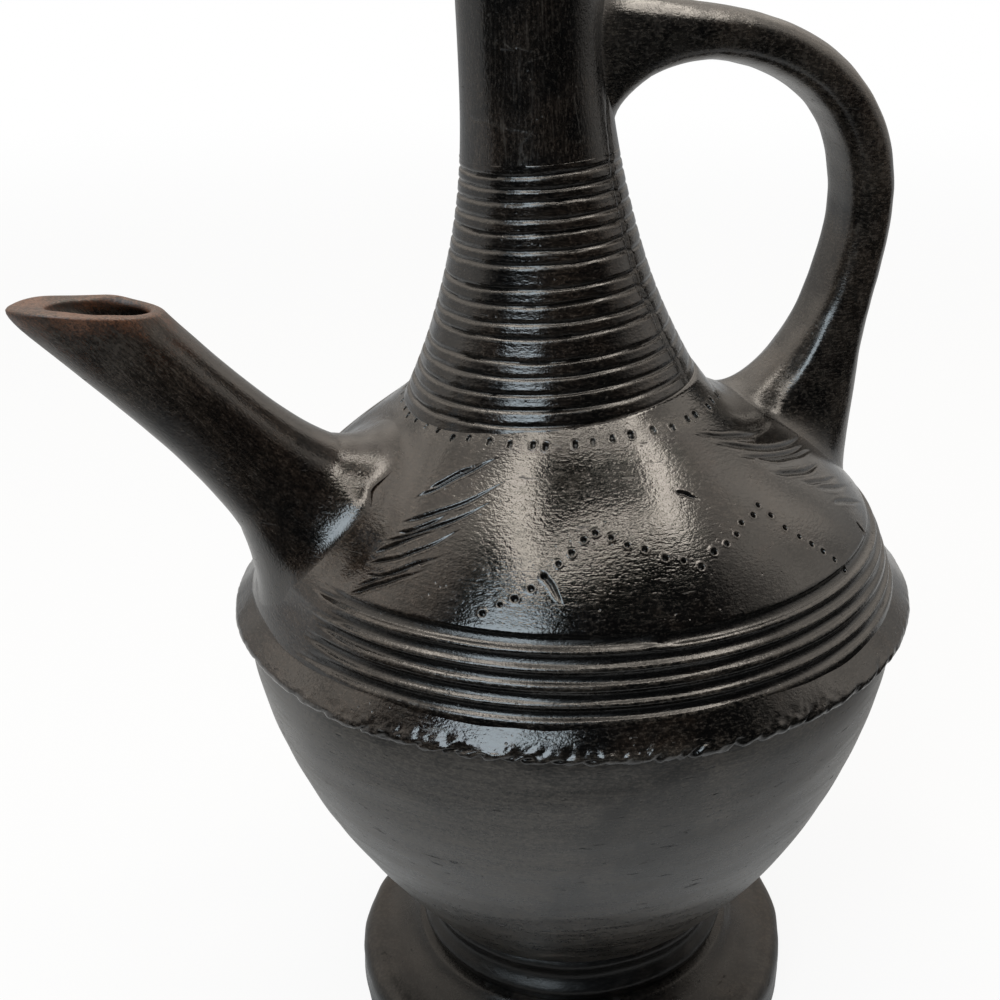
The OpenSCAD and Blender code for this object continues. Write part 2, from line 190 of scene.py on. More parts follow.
@dataclass
class Relief:
    """What the maker's hand did to a wall, and the shade painted into its hollows, one value per point,
    lengths in millimetres.
    """

    shift: Array
    lift: Array
    worn: Array
    # painted shade in the wall's hollows
    carved: Array

    @classmethod
    def raised(
        cls,
        lift: Array,
        worn: Array | float = 0.0,
        carved: Array | float = 0.0,
        shift: Array | float = 0.0,
    ) -> "Relief":
        """Relief that lifts the wall and leaves the traces that are given."""
        none = np.zeros_like(lift)
        return cls(none + shift, lift, none + worn, none + carved)

    def __add__(self, other: "Relief") -> "Relief":
        """Both reliefs together.

        Args:
            other: The relief to add.

        Returns:
            Shifts and lifts summed, and the stronger one of each trace.
        """
        worn = np.maximum(self.worn, other.worn)
        carved = np.maximum(self.carved, other.carved)
        return Relief(self.shift + other.shift, self.lift + other.lift, worn, carved)

    def faded(self, left: Array, steady: Array | float = 1.0) -> "Relief":
        """Relief of which a share is left, with a share of its own for the shift."""
        return Relief(self.shift * steady, self.lift * left, self.worn * left, self.carved * left)


# Relief for the heights, angles and places of a plain wall's points
Hand = Callable[[Array, Array, Array], Relief]


@dataclass
class Skin:
    """A mesh in the making, in millimetres.

    Attributes:
        points: One place per row.
        faces: Point numbers of each face.
        paint: Values that the finish reads, one per point.
    """

    points: Array
    faces: Faces
    paint: dict[Paint, Array] = field(default_factory=dict)

    @classmethod
    def joined(cls, skins: Sequence["Skin"]) -> "Skin":
        """Several skins as one.

        Args:
            skins: Skins that carry the same paints.

        Returns:
            One skin with all their faces.
        """
        faces: Faces = []
        start = 0
        for skin in skins:
            faces.extend([number + start for number in face] for face in skin.faces)
            start += len(skin.points)
        points = np.concatenate([skin.points for skin in skins])
        paint = {key: np.concatenate([skin.paint[key] for skin in skins]) for key in skins[0].paint}
        return cls(points, faces, paint)

    def piece(self, name: str, material: Material) -> bpy.types.Object:
        """Makes the Blender object.

        Args:
            name: Name of the piece.
            material: Its finish.

        Returns:
            The new object, in metres.
        """
        mesh = bpy.data.meshes.new(name)
        mesh.from_pydata((self.points * MM).tolist(), [], self.faces)
        for key, values in self.paint.items():
            layer = mesh.attributes.new(key.value, "FLOAT", "POINT")
            layer.data.foreach_set("value", np.ascontiguousarray(values, dtype=np.float32))
        mesh.shade_smooth()
        mesh.set_sharp_from_angle(angle=SHARP)
        mesh.materials.append(material)
        piece = bpy.data.objects.new(name, mesh)
        bpy.context.scene.collection.objects.link(piece)
        return piece


def lattice(rows: int, columns: int, rows_join: bool) -> Array:
    """Faces over rows of points that go once round.

    Args:
        rows: Number of rows.
        columns: Points in each row.
        rows_join: Whether the last row meets the first.

    Returns:
        Four point numbers for each face.
    """
    row = np.arange(rows if rows_join else rows - 1)[:, None]
    column = np.arange(columns)[None, :]
    right = (column + 1) % columns
    above = (row + 1) % rows
    here = row * columns
    over = above * columns
    corners = (here + column, here + right, over + right, over + column)
    return np.stack(np.broadcast_arrays(*corners), axis=-1).reshape(-1, 4)


def closed_ends(rows: Array) -> tuple[Array, Faces]:
    """Skin over rows of points, with a fan at each end.

    Args:
        rows: Places, by row and by point.

    Returns:
        The points, two of them added as middles of the ends, and the faces.
    """
    count, sides = rows.shape[:2]
    faces = lattice(count, sides, False).tolist()
    first = count * sides
    last = (count - 1) * sides
    for side in range(sides):
        after = (side + 1) % sides
        faces.append([first, after, side])
        faces.append([first + 1, last + side, last + after])
    middles = np.stack([rows[0].mean(axis=0), rows[-1].mean(axis=0)])
    return np.concatenate([rows.reshape(-1, 3), middles]), faces


@dataclass(frozen=True)
class Run:
    """A stretch of a wall's outline.

    Attributes:
        points: Radius and height of each point.
        step: Distance between mesh rows along it.
        hand: Share of the wall's relief that it takes.
        taper: Length over which the relief fades at both ends.
    """

    points: Array
    step: float
    hand: float = 0.0
    taper: float = 0.0


class Outline:
    """A wall's outline, outside first and going up, then over and down the inside."""

    fine_step = 0.25
    normal_reach = 0.3

    def __init__(self, runs: Sequence[Run], closed: bool = True) -> None:
        """Joins the runs.

        Args:
            runs: Stretches in order, each starting where the one before ends.
            closed: Whether the last point meets the first.
        """
        dense: list[Array] = []
        hands: list[Array] = []
        rows: list[Array] = []
        length = 0.0
        for run in runs:
            along = lengths_along(run.points)
            whole = along[-1]
            fine = np.linspace(0.0, whole, max(3, int(whole / min(self.fine_step, run.step))) + 1)
            dense.append(read_columns(fine, along, run.points))
            gap = np.minimum(fine, whole - fine)
            fade = ease(0.0, run.taper, gap) if run.taper else np.ones_like(fine)
            hands.append(run.hand * fade)
            count = max(1, round(whole / run.step))
            rows.append(length + whole * np.arange(count) / count)
            length += whole
        if not closed:
            rows.append(np.array([length]))
        self.closed = closed
        self.length = length
        self.rows = np.concatenate(rows)
        self.points = np.concatenate(dense)
        self.along = lengths_along(self.points)
        self.hand = np.concatenate(hands)
        self.normals = self._normals()

    def _normals(self) -> Array:
        """Outward normals, averaged over neighbouring points.

        Returns:
            Radius and height parts of the normal at each point.
        """
        sample = np.linspace(0.0, self.length, 4 * len(self.along))
        ahead = read_columns(sample + self.normal_reach, self.along, self.points)
        back = read_columns(sample - self.normal_reach, self.along, self.points)
        ways = unit(ahead - back + 1e-9)
        return read_columns(self.along, sample, np.stack([ways[:, 1], -ways[:, 0]], axis=1))

    def at(self, along: Array) -> tuple[Array, Array, Array, Array, Array]:
        """Radius, height, both parts of the normal and share of the relief, at lengths along it."""
        columns = (*self.points.T, *self.normals.T, self.hand)
        return tuple(np.interp(along, self.along, column) for column in columns)


@dataclass
class Marks:
    """Marks pressed into soft clay, as many small spots with a width and depth of their own.

    Attributes:
        spots: Places on the wall.
        width: Half width of the mark at each spot.
        depth: Depth at each spot.
        floor: Share of the half width that is flat at the bottom.
        burr: Share of the depth that the clay is pushed up beside the mark.
        dust: Share of dust that lies in the mark.
        burr_at: Where the pushed-up clay stands, in half widths.
        worn_at: Where the edge is worn, in half widths.
        edge_w: Width of both, in half widths.
    """

    spots: Array
    width: Array
    depth: Array
    floor: float
    burr: float
    dust: float = 0.0
    burr_at: float = 1.35
    worn_at: float = 1.25
    edge_w: float = 0.3

    def __post_init__(self) -> None:
        """Sorts the spots, so that the nearest one is quickly found."""
        self.tree = KDTree(len(self.spots))
        for number, spot in enumerate(self.spots):
            self.tree.insert(spot, number)
        self.tree.balance()

    def _nearest(self, points: Array) -> tuple[Array, Array]:
        """Number and distance of the nearest spot to each point."""
        found = [self.tree.find(point)[1:] for point in points]
        return np.array([hit[0] for hit in found]), np.array([hit[1] for hit in found])

    def near(self, points: Array, reach: float) -> Array:
        """Whether each point lies within so many half widths of a mark."""
        number, gap = self._nearest(points)
        return gap < reach * self.width[number]

    def relief(self, points: Array) -> Relief:
        """Relief of the marks.

        Args:
            points: Places on the wall.

        Returns:
            How the marks press the wall in.
        """
        number, gap = self._nearest(points)
        share = gap / self.width[number]
        depth = self.depth[number]
        sunk = 1.0 - ease(self.floor, 1.0, share)
        lift = depth * (self.burr * bell(share - self.burr_at, self.edge_w) - sunk)
        edge = 0.85 * bell(share - self.worn_at, self.edge_w) * np.minimum(1.0, 2.5 * depth)
        worn = np.maximum(edge, self.dust * (1.0 - ease(0.3, 1.1, share)))
        # Painted shade: the inside of each mark is darkened.
        carved = sunk * np.minimum(1.0, 2.0 * depth)
        return Relief.raised(lift, worn, carved)


@dataclass(frozen=True)
class Rings:
    """Ring grooves drawn by hand round a turned wall, each wavering by itself.

    Attributes:
        heights: Heights of the grooves.
        step: Usual distance between grooves.
        half: Half width of a groove.
        hollow: How hollow its floor is, from 1 for a straight-sided cut.
        depth: Depth of a groove.
        lip: Height of the clay pushed up beside it.
        waver: How far a groove strays up and down.
        seed: Which jitter.
        start: Angle where each groove starts and ends.
        slip: How far a groove's end misses its start.
    """

    heights: tuple[float, ...]
    step: float
    half: float
    hollow: float
    depth: float
    lip: float
    waver: float
    seed: int
    start: tuple[float, ...]
    slip: float

    def _stray(self, number: int, angle: Array) -> tuple[Array, Array]:
        """How one groove strays and how strongly it is pressed.

        Args:
            number: Which groove.
            angle: Angles of the points.

        Returns:
            The stray in millimetres and the strength, about 1.
        """
        maker = np.random.default_rng(self.seed + 17 * number)
        stray = np.zeros_like(angle)
        force = np.ones_like(angle)
        for beat in (1, 2, 3, 5, 8, 13):
            reach = maker.uniform(-1.0, 1.0) / beat**0.6
            stray += reach * np.sin(beat * angle + maker.uniform(0.0, TAU))
            press = 0.11 * np.sin(1.7 * beat * angle + maker.uniform(0.0, TAU))
            force += press * maker.uniform(0.4, 1.0)
        gap = angle_gap(angle, self.start[number])
        slip = maker.uniform(0.4, 1.0) * self.slip * (1.0 if number % 2 else -1.0)
        stray = self.waver * stray * 0.6 + slip * (0.5 * np.sign(gap) - gap / TAU) * bell(gap, 1.2)
        force = force * (1.0 - 0.75 * bell(gap, 0.045))
        return stray, force

    def relief(self, height: Array, angle: Array) -> Relief:
        """Relief of all the grooves.

        Args:
            height: Heights of the points on the plain wall.
            angle: Angles of the points.

        Returns:
            How the grooves press the wall in.
        """
        ends = [self.heights[0] - 2.0 * self.step, *self.heights, self.heights[-1] + 2.0 * self.step]
        shift = np.zeros_like(angle)
        lift = np.zeros_like(angle)
        worn = np.zeros_like(angle)
        carved = np.zeros_like(angle)
        for number, middle in enumerate(self.heights):
            stray, force = self._stray(number, angle)
            weight = [0.0] * len(ends)
            weight[number + 1] = 1.0
            shift += stray * np.interp(height, ends, weight)
            gap = (height - middle) / self.half
            cut = np.clip(1.0 - np.abs(gap) ** self.hollow, 0.0, 1.0) ** 1.15
            lips = bell(gap + 1.5, 0.6) + 0.5 * bell(gap - 1.5, 0.6)
            lift += force * (self.lip * lips - self.depth * cut)
            # Painted shade: the floor of each groove is darkened.
            carved = np.maximum(carved, cut * np.clip(force, 0.0, 1.0))
            worn = np.maximum(worn, bell(gap + 1.15, 0.3))
        return Relief(shift, lift, worn, carved)


@dataclass
class Turned:
    """A wall turned by hand: an outline carried round an axis, with relief in it.

    Attributes:
        outline: Its outline.
        columns: Number of mesh columns round it.
        place: Takes points from the wall's own frame to the pot's.
    """

    outline: Outline
    columns: int
    place: Callable[[Array], Array]

    def drawn(self, radius: Array, angle: Array, height: Array) -> tuple[Array, Array]:
        """Radius and height of the plain wall, before relief."""
        return radius, height

    def _plane(self) -> tuple[Array, Array, Faces]:
        """Mesh of the wall laid flat.

        Returns:
            Lengths along the outline, angles, and faces.
        """
        rows = self.outline.rows
        if self.outline.closed:
            rows = np.append(rows, self.outline.length)
        angles = np.linspace(0.0, TAU, self.columns + 1)
        along, angle = np.meshgrid(rows, angles, indexing="ij")
        number = np.arange(along.size).reshape(along.shape)
        corners = (number[:-1, :-1], number[:-1, 1:], number[1:, 1:], number[1:, :-1])
        return along.ravel(), angle.ravel(), np.stack(corners, axis=-1).reshape(-1, 4).tolist()

    def _plain(self, along: Array, angle: Array) -> Array:
        """Points of the plain wall in its own frame.

        Args:
            along: Lengths along the outline.
            angle: Angles.

        Returns:
            One place for each.
        """
        radius, height, _, _, _ = self.outline.at(along)
        radius, height = self.drawn(radius, angle, height)
        return polar(radius, angle, height)

    def _finer(self, marks: Sequence[Marks]) -> tuple[Array, Array, Faces]:
        """Mesh of the wall laid flat, finer near marks.

        Args:
            marks: Marks that need the finer mesh.

        Returns:
            Lengths along the outline, angles, and faces.
        """
        along, angle, faces = self._plane()
        mesh = bmesh.new()
        corners = [mesh.verts.new((x, y, 0.0)) for x, y in zip(along, angle)]
        for face in faces:
            mesh.faces.new([corners[number] for number in face])
        for reach in (3.2, 2.2, 1.5):
            middles = np.array([face.calc_center_median() for face in mesh.faces])
            points = self._plain(middles[:, 0], middles[:, 1])
            close = np.zeros(len(points), dtype=bool)
            for mark in marks:
                close |= mark.near(points, reach)
            edges = {edge for face, hit in zip(mesh.faces, close) if hit for edge in face.edges}
            bmesh.ops.subdivide_edges(mesh, edges=list(edges), cuts=1, use_grid_fill=True)
        mesh.verts.index_update()
        flat = np.array([vert.co for vert in mesh.verts])
        faces = [[vert.index for vert in face.verts] for face in mesh.faces]
        mesh.free()
        return flat[:, 0], flat[:, 1], faces

    def _welded(self, along: Array, angle: Array, faces: Faces) -> tuple[Array, Faces]:
        """Joins the flat mesh round the wall.

        Args:
            along: Lengths along the outline.
            angle: Angles.
            faces: Faces of the flat mesh.

        Returns:
            The numbers of the points kept, and the faces over them.
        """
        radius = self.outline.at(along)[0]
        turn = np.round(np.where(angle > TAU - 1e-5, 0.0, angle) * 1e4)
        if self.outline.closed:
            along = np.where(along > self.outline.length - 1e-3, 0.0, along)
        turn = np.where(radius < 1e-4, 0.0, turn)
        keys = np.stack([np.round(along * 1e3), turn], axis=1)
        _, kept, new = np.unique(keys, axis=0, return_index=True, return_inverse=True)
        new = new.ravel()
        joined: Faces = []
        for face in faces:
            numbers = [int(new[number]) for number in face]
            numbers = [number for place, number in enumerate(numbers) if number != numbers[place - 1]]
            if len(numbers) > 2:
                joined.append(numbers)
        return kept, joined

    def skin(self, hand: Hand, marks: Sequence[Marks] = ()) -> Skin:
        """Builds the wall.

        Args:
            hand: Relief for heights, angles and plain points.
            marks: Marks pressed into it, with a finer mesh round them.

        Returns:
            The closed skin of the wall, in the pot's frame.
        """
        along, angle, faces = self._finer(marks) if marks else self._plane()
        kept, faces = self._welded(along, angle, faces)
        along = along[kept]
        angle = angle[kept]
        radius, height, normal_r, normal_z, share = self.outline.at(along)
        radius, height = self.drawn(radius, angle, height)
        plain = polar(radius, angle, height)
        relief = hand(height, angle, plain)
        for mark in marks:
            relief = relief + mark.relief(plain)
        lift = share * relief.lift
        shift = share * relief.shift
        radius = radius + normal_r * lift - normal_z * shift
        height = height + normal_z * lift + normal_r * shift
        paint = {
            Paint.WORN: share * relief.worn,
            Paint.CARVED: share * relief.carved,
            Paint.RAW: np.zeros_like(share),
        }
        return Skin(self.place(polar(radius, angle, height)), faces, paint)


def box_mm(node: str) -> tuple[Array, Array]:
    """Lowest and highest corner of a node of the frame, in millimetres."""
    low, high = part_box(node)
    return np.array(low) / MM, np.array(high) / MM


@dataclass(frozen=True)
class Form:
    """Outlines that the pieces share, in millimetres.

    Attributes:
        bowl_z: Height of the bowl's underside.
        seam_z: Height of the seam between bowl and shoulder.
        bowl_r: Radius at the seam.
    """

    bowl_z: float
    seam_z: float
    bowl_r: float
    bowl_base_r: float = 44.5
    bowl_curve: float = 1.95
    wall: float = 6.5
    floor_t: float = 8.0
    shoulder_band_h: float = 17.0
    shoulder_h: float = 54.0
    shoulder_in: float = 6.0
    dome_curve: float = 1.3
    neck_base_r: float = 37.5
    neck_r: float = 16.8
    neck_narrow_h: float = 98.0
    neck_curve: float = 2.6
    neck_h: float = 128.0
    neck_wall: float = 5.0
    mouth_r: float = 23.0
    rim_h: float = 8.0
    rim_out: float = 1.6
    seat_ledge: float = 0.7
    lean: float = math.radians(3.2)
    lean_z: float = 91.0
    root_place: tuple[float, float, float] = (-67.9, 0.0, 161.0)
    root_hollow: float = 0.7
    root_hollow_r: float = 29.0
    collar: float = 0.7
    collar_w: float = 9.0
    saddle_place: tuple[float, float] = (39.0, 9.0)
    saddle: float = 3.4
    saddle_w: float = 10.0
    saddle_end: float = 2.4
    seam_plain: float = 6.0
    seam_fade: float = 10.0
    root_bend: float = 100.0
    waves: tuple[Wobble, ...] = (Wobble(62, 0.25, 56.0), Wobble(63, 0.05, 13.0, (0.6, 0.6, 1.5)))

    @classmethod
    def from_frame(cls) -> "Form":
        """Form that follows the frame's bowl."""
        low, high = box_mm("lower_bowl")
        return cls(bowl_z=low[2], seam_z=high[2], bowl_r=high[0])

    @property
    def dome_z(self) -> float:
        """Height where the dome starts."""
        return self.seam_z + self.shoulder_band_h

    @property
    def seat_z(self) -> float:
        """Height of the neck's seat."""
        return self.seam_z + self.shoulder_h

    @property
    def dome_r(self) -> float:
        """Radius where the dome starts."""
        return self.bowl_r - self.shoulder_in

    @property
    def seat_r(self) -> float:
        """Radius of the dome at the neck's seat."""
        return self.neck_base_r + self.seat_ledge

    @property
    def neck_x(self) -> float:
        """Where the leaning neck's axis passes the height of its seat."""
        return -math.sin(self.lean) * (self.seat_z - self.lean_z)

    def bowl_out(self, z: Array) -> Array:
        """Outside radius of the bowl at a height."""
        left = np.clip(1.0 - (z - self.bowl_z) / (self.seam_z - self.bowl_z), 0.0, 1.0)
        return lerp(self.bowl_base_r, self.bowl_r, 1.0 - left**self.bowl_curve)

    def shoulder_out(self, z: Array) -> Array:
        """Outside radius of the shoulder.

        Args:
            z: Heights.

        Returns:
            The radius at each height.
        """
        band = lerp(self.bowl_r, self.dome_r, (z - self.seam_z) / self.shoulder_band_h)
        share = np.maximum(z - self.dome_z, 0.0) / (self.seat_z - self.dome_z)
        return np.where(z < self.dome_z, band, lerp(self.dome_r, self.seat_r, share**self.dome_curve))

    def dome_height(self, radius: Array) -> Array:
        """Height of the dome at an outside radius."""
        share = np.maximum(self.dome_r - radius, 0.0) / (self.dome_r - self.seat_r)
        return self.dome_z + (self.seat_z - self.dome_z) * share ** (1.0 / self.dome_curve)

    def neck_out(self, h: Array) -> Array:
        """Outside radius of the neck.

        Args:
            h: Heights above its seat.

        Returns:
            The radius at each height.
        """
        low = np.maximum(1.0 - h / self.neck_narrow_h, 0.0) ** self.neck_curve
        high = np.maximum(h - self.neck_narrow_h, 0.0) / (self.neck_h - self.neck_narrow_h)
        return lerp(self.neck_r, self.neck_base_r, low) + (self.mouth_r - self.neck_r) * high**2

    def from_neck(self, points: Array) -> Array:
        """Takes points out of the leaning neck's frame.

        Args:
            points: Places in the neck's frame.

        Returns:
            The places in the pot's frame.
        """
        up = points[..., 2] + self.seat_z - self.lean_z
        x = points[..., 0] * math.cos(self.lean) - up * math.sin(self.lean)
        z = self.lean_z + points[..., 0] * math.sin(self.lean) + up * math.cos(self.lean)
        return np.stack([x, points[..., 1], z], axis=-1)

    def to_neck(self, points: Array) -> Array:
        """Takes points into the leaning neck's frame.

        Args:
            points: Places in the pot's frame.

        Returns:
            The places in the neck's frame.
        """
        up = points[..., 2] - self.lean_z
        x = points[..., 0] * math.cos(self.lean) + up * math.sin(self.lean)
        z = up * math.cos(self.lean) - points[..., 0] * math.sin(self.lean)
        z = z - (self.seat_z - self.lean_z)
        return np.stack([x, points[..., 1], z], axis=-1)

    def off_shoulder(self, points: Array) -> Array:
        """How far points lie outside the shoulder, across."""
        return np.hypot(points[..., 0], points[..., 1]) - self.shoulder_out(points[..., 2])

    def off_neck(self, points: Array) -> Array:
        """How far points lie outside the neck, across."""
        near = self.to_neck(points)
        return np.hypot(near[..., 0], near[..., 1]) - self.neck_out(near[..., 2])

    def on_shoulder(self, points: Array, sunk: Array | float) -> Array:
        """Brings points across onto the shoulder.

        Args:
            points: Places near it.
            sunk: How far each is set into the wall.

        Returns:
            The places on the plain shoulder.
        """
        across = np.hypot(points[..., 0], points[..., 1])
        pull = (self.shoulder_out(points[..., 2]) - sunk) / across
        return points * np.stack([pull, pull, np.ones_like(pull)], axis=-1)

    def on_neck(self, points: Array, sunk: float) -> Array:
        """Brings points across onto the neck.

        Args:
            points: Places near it.
            sunk: How far all are set into the wall.

        Returns:
            The places on the plain neck.
        """
        near = self.to_neck(points)
        across = np.hypot(near[..., 0], near[..., 1])
        pull = (self.neck_out(near[..., 2]) - sunk) / across
        return self.from_neck(near * np.stack([pull, pull, np.ones_like(pull)], axis=-1))

    def dome_rise(self, points: Array) -> Array:
        """Unevenness of the shoulder, with hollows round the spout's root and beside the handle.

        Args:
            points: Places on the plain shoulder.

        Returns:
            The rise at each place.
        """
        uneven = waves_at(self.waves, points)
        away = np.linalg.norm(points - np.array(self.root_place), axis=-1)
        hollow = self.root_hollow * bell(away - self.root_hollow_r, 5.0)
        across = np.hypot(points[..., 0] - self.neck_x, points[..., 1])
        off_foot = (across - self.neck_base_r) / self.collar_w
        collar = self.collar * np.clip(1.0 - off_foot, 0.0, 1.2) ** 2
        past = np.maximum(np.abs(points[..., 1]) - self.saddle_place[1], 0.0) / self.saddle_end
        beside = np.hypot(points[..., 0] - self.saddle_place[0], past)
        collar = collar - self.saddle * bell(beside, self.saddle_w)
        plain = self.seam_z + self.seam_plain
        rise = (uneven - hollow) * ease(plain, plain + self.seam_fade, points[..., 2])
        return rise + np.where(points[..., 2] > self.dome_z, collar, 0.0)

    def on_pressed(self, points: Array, sunk: Array | float) -> Array:
        """Brings points onto the uneven shoulder.

        Args:
            points: Places near the shoulder.
            sunk: How far each is set into the wall.

        Returns:
            The places on the wall.
        """
        plain = self.on_shoulder(points, 0.0)
        height = plain[..., 2]
        small = 0.05
        slope = (self.shoulder_out(height + small) - self.shoulder_out(height - small)) / (2.0 * small)
        angle = np.arctan2(plain[..., 1], plain[..., 0])
        normal = unit(polar(np.ones_like(slope), angle, -slope))
        return plain + (self.dome_rise(plain) - sunk)[..., None] * normal


def land(off: Callable[[Array], Array], start: Array, way: Array, near: float, far: float) -> Array:
    """Finds how far points travel until they reach a surface.

    Args:
        off: Distance outside the surface.
        start: Places to start from.
        way: Direction of travel, one or one per place.
        near: Travel at which all are outside.
        far: Travel at which all are inside.

    Returns:
        The travel of each place.
    """
    low = np.full(start.shape[:-1], near)
    high = np.full(start.shape[:-1], far)
    for _ in range(30):
        middle = 0.5 * (low + high)
        outside = off(start + middle[..., None] * way) > 0.0
        low = np.where(outside, middle, low)
        high = np.where(outside, high, middle)
    return 0.5 * (low + high)


def swept(start: Array, corner: Array, end: Array, steps: int) -> Array:
    """Rows of a hollow curve from start to end that turns at corner."""
    share = (np.arange(steps) / steps)[:, None, None]
    return (1.0 - share) ** 2 * start + 2.0 * share * (1.0 - share) * corner + share**2 * end


class Value:
    """A shader value. Sums on it add Math nodes."""

    def __init__(self, bench: "Bench", socket: Socket) -> None:
        """Wraps a socket of the bench's tree."""
        self.bench = bench
        self.socket = socket

    def _math(self, operation: str, *numbers: "Value | float") -> "Value":
        """Adds one Math node.

        Args:
            operation: What the node does.
            numbers: Its inputs in order.

        Returns:
            The node's result.
        """
        inputs = dict(enumerate(numbers))
        node = self.bench.node("ShaderNodeMath", {"operation": operation}, inputs)
        return Value(self.bench, node.outputs[0])

    def __add__(self, other: "Value | float") -> "Value":
        """Sum."""
        return self._math("ADD", self, other)

    def __radd__(self, other: float) -> "Value":
        """Sum with a number first."""
        return self._math("ADD", other, self)

    def __sub__(self, other: "Value | float") -> "Value":
        """Difference."""
        return self._math("SUBTRACT", self, other)

    def __rsub__(self, other: float) -> "Value":
        """Difference from a number."""
        return self._math("SUBTRACT", other, self)

    def __mul__(self, other: "Value | float") -> "Value":
        """Product."""
        return self._math("MULTIPLY", self, other)

    def __rmul__(self, other: float) -> "Value":
        """Product with a number first."""
        return self._math("MULTIPLY", other, self)

    def __truediv__(self, other: "Value | float") -> "Value":
        """Quotient."""
        return self._math("DIVIDE", self, other)

    def __rtruediv__(self, other: float) -> "Value":
        """Quotient of a number."""
        return self._math("DIVIDE", other, self)

    def __pow__(self, power: float) -> "Value":
        """Power."""
        return self._math("POWER", self, power)

    def least(self, other: "Value | float") -> "Value":
        """The smaller of two values."""
        return self._math("MINIMUM", self, other)

    def most(self, other: "Value | float") -> "Value":
        """The larger of two values."""
        return self._math("MAXIMUM", self, other)

    def rise(self, low: float, high: float) -> "Value":
        """Smooth rise of the value.

        Args:
            low: Value that gives 0.
            high: Value that gives 1.

        Returns:
            The rise, from 0 to 1.
        """
        settings = {"interpolation_type": "SMOOTHSTEP"}
        inputs = {"Value": self, "From Min": low, "From Max": high}
        node = self.bench.node("ShaderNodeMapRange", settings, inputs)
        return Value(self.bench, node.outputs["Result"])


class Bench:
    """A node tree to work on."""

    def __init__(self, tree: bpy.types.NodeTree) -> None:
        """Clears the tree."""
        self.tree = tree
        tree.nodes.clear()

    def node(
        self,
        kind: str,
        settings: dict | None = None,
        inputs: dict | None = None,
    ) -> bpy.types.Node:
        """Adds one node.

        Args:
            kind: The node's type.
            settings: Its own settings, set first.
            inputs: Values or links of its sockets, by name or number.

        Returns:
            The new node.
        """
        node = self.tree.nodes.new(kind)
        for key, value in (settings or {}).items():
            setattr(node, key, value)
        for key, value in (inputs or {}).items():
            socket = node.inputs[key]
            if isinstance(value, Value):
                value = value.socket
            if isinstance(value, Socket):
                self.tree.links.new(value, socket)
            else:
                socket.default_value = value
        return node

    def place(self) -> Socket:
        """Place on the object."""
        return self.node("ShaderNodeTexCoord").outputs["Object"]

    def scaled(self, vector: Socket, scale: Sequence[float]) -> Socket:
        """A vector scaled along each axis."""
        settings = {"operation": "MULTIPLY"}
        return self.node("ShaderNodeVectorMath", settings, {0: vector, 1: tuple(scale)}).outputs[0]

    def turned(self, vector: Socket, turn: Sequence[float]) -> Socket:
        """A vector turned about the axes."""
        return self.node("ShaderNodeMapping", {}, {"Vector": vector, "Rotation": tuple(turn)}).outputs[0]

    def noise(
        self,
        vector: Socket,
        scale: float,
        detail: float = 2.0,
        roughness: float = 0.5,
        distortion: float = 0.0,
    ) -> Value:
        """Cloudy noise from 0 to 1.

        Args:
            vector: Where it is read.
            scale: Clouds per metre.
            detail: Layers of finer noise.
            roughness: Strength of the finer layers.
            distortion: How much the clouds swirl.

        Returns:
            The noise.
        """
        inputs = {
            "Vector": vector,
            "Scale": scale,
            "Detail": detail,
            "Roughness": roughness,
            "Distortion": distortion,
        }
        return Value(self, self.node("ShaderNodeTexNoise", {}, inputs).outputs[0])

    def specks(self, vector: Socket, scale: float) -> Value:
        """Distance to the nearest of many scattered specks."""
        node = self.node("ShaderNodeTexVoronoi", {}, {"Vector": vector, "Scale": scale})
        return Value(self, node.outputs[0])

    def paint(self, paint: Paint) -> Value:
        """A value that the mesh carries."""
        settings = {"attribute_type": "GEOMETRY", "attribute_name": paint.value}
        return Value(self, self.node("ShaderNodeAttribute", settings).outputs["Fac"])

    def blend(
        self,
        share: Value | float,
        first: Colour | Socket,
        second: Colour | Socket,
    ) -> Socket:
        """A colour between two."""
        settings = {"data_type": "RGBA", "clamp_factor": True}
        return self.node("ShaderNodeMix", settings, {0: share, 6: first, 7: second}).outputs[2]

    def axes(self, vector: Socket) -> tuple[Value, Value, Value]:
        """The three parts of a vector."""
        parts = self.node("ShaderNodeSeparateXYZ", {}, {0: vector}).outputs
        return Value(self, parts[0]), Value(self, parts[1]), Value(self, parts[2])

    def rays(self) -> tuple[Value, Value]:
        """Asks how a place is looked at.

        Returns:
            Whether it is seen directly, and whether it is seen as a reflection.
        """
        rays = self.node("ShaderNodeLightPath").outputs
        seen = Value(self, rays["Is Camera Ray"]).most(Value(self, rays["Is Transmission Ray"]))
        return seen, Value(self, rays["Is Glossy Ray"])

    def end(self, shader: bpy.types.Node) -> None:
        """Ends a material's tree with its shader."""
        self.node("ShaderNodeOutputMaterial", {}, {"Surface": shader.outputs[0]})

    def surface(self, colour: Socket, rough: Value, height: Value, bend: float) -> None:
        """Ends a material's tree with a skin that has fine relief.

        Args:
            colour: Colour of the skin.
            rough: Its roughness.
            height: Its fine relief, in millimetres.
            bend: Its index of refraction.
        """
        bump = self.node("ShaderNodeBump", {}, {"Height": height, "Distance": MM, "Strength": 1.0})
        inputs = {
            "Base Color": colour,
            "Roughness": rough,
            "IOR": bend,
            "Normal": bump.outputs["Normal"],
        }
        self.end(self.node("ShaderNodeBsdfPrincipled", {}, inputs))


def new_material(name: str) -> tuple[Material, Bench]:
    """Makes an empty material.

    Args:
        name: Its name.

    Returns:
        The material and the bench of its nodes.
    """
    material = bpy.data.materials.new(name)
    material.use_nodes = True
    return material, Bench(material.node_tree)


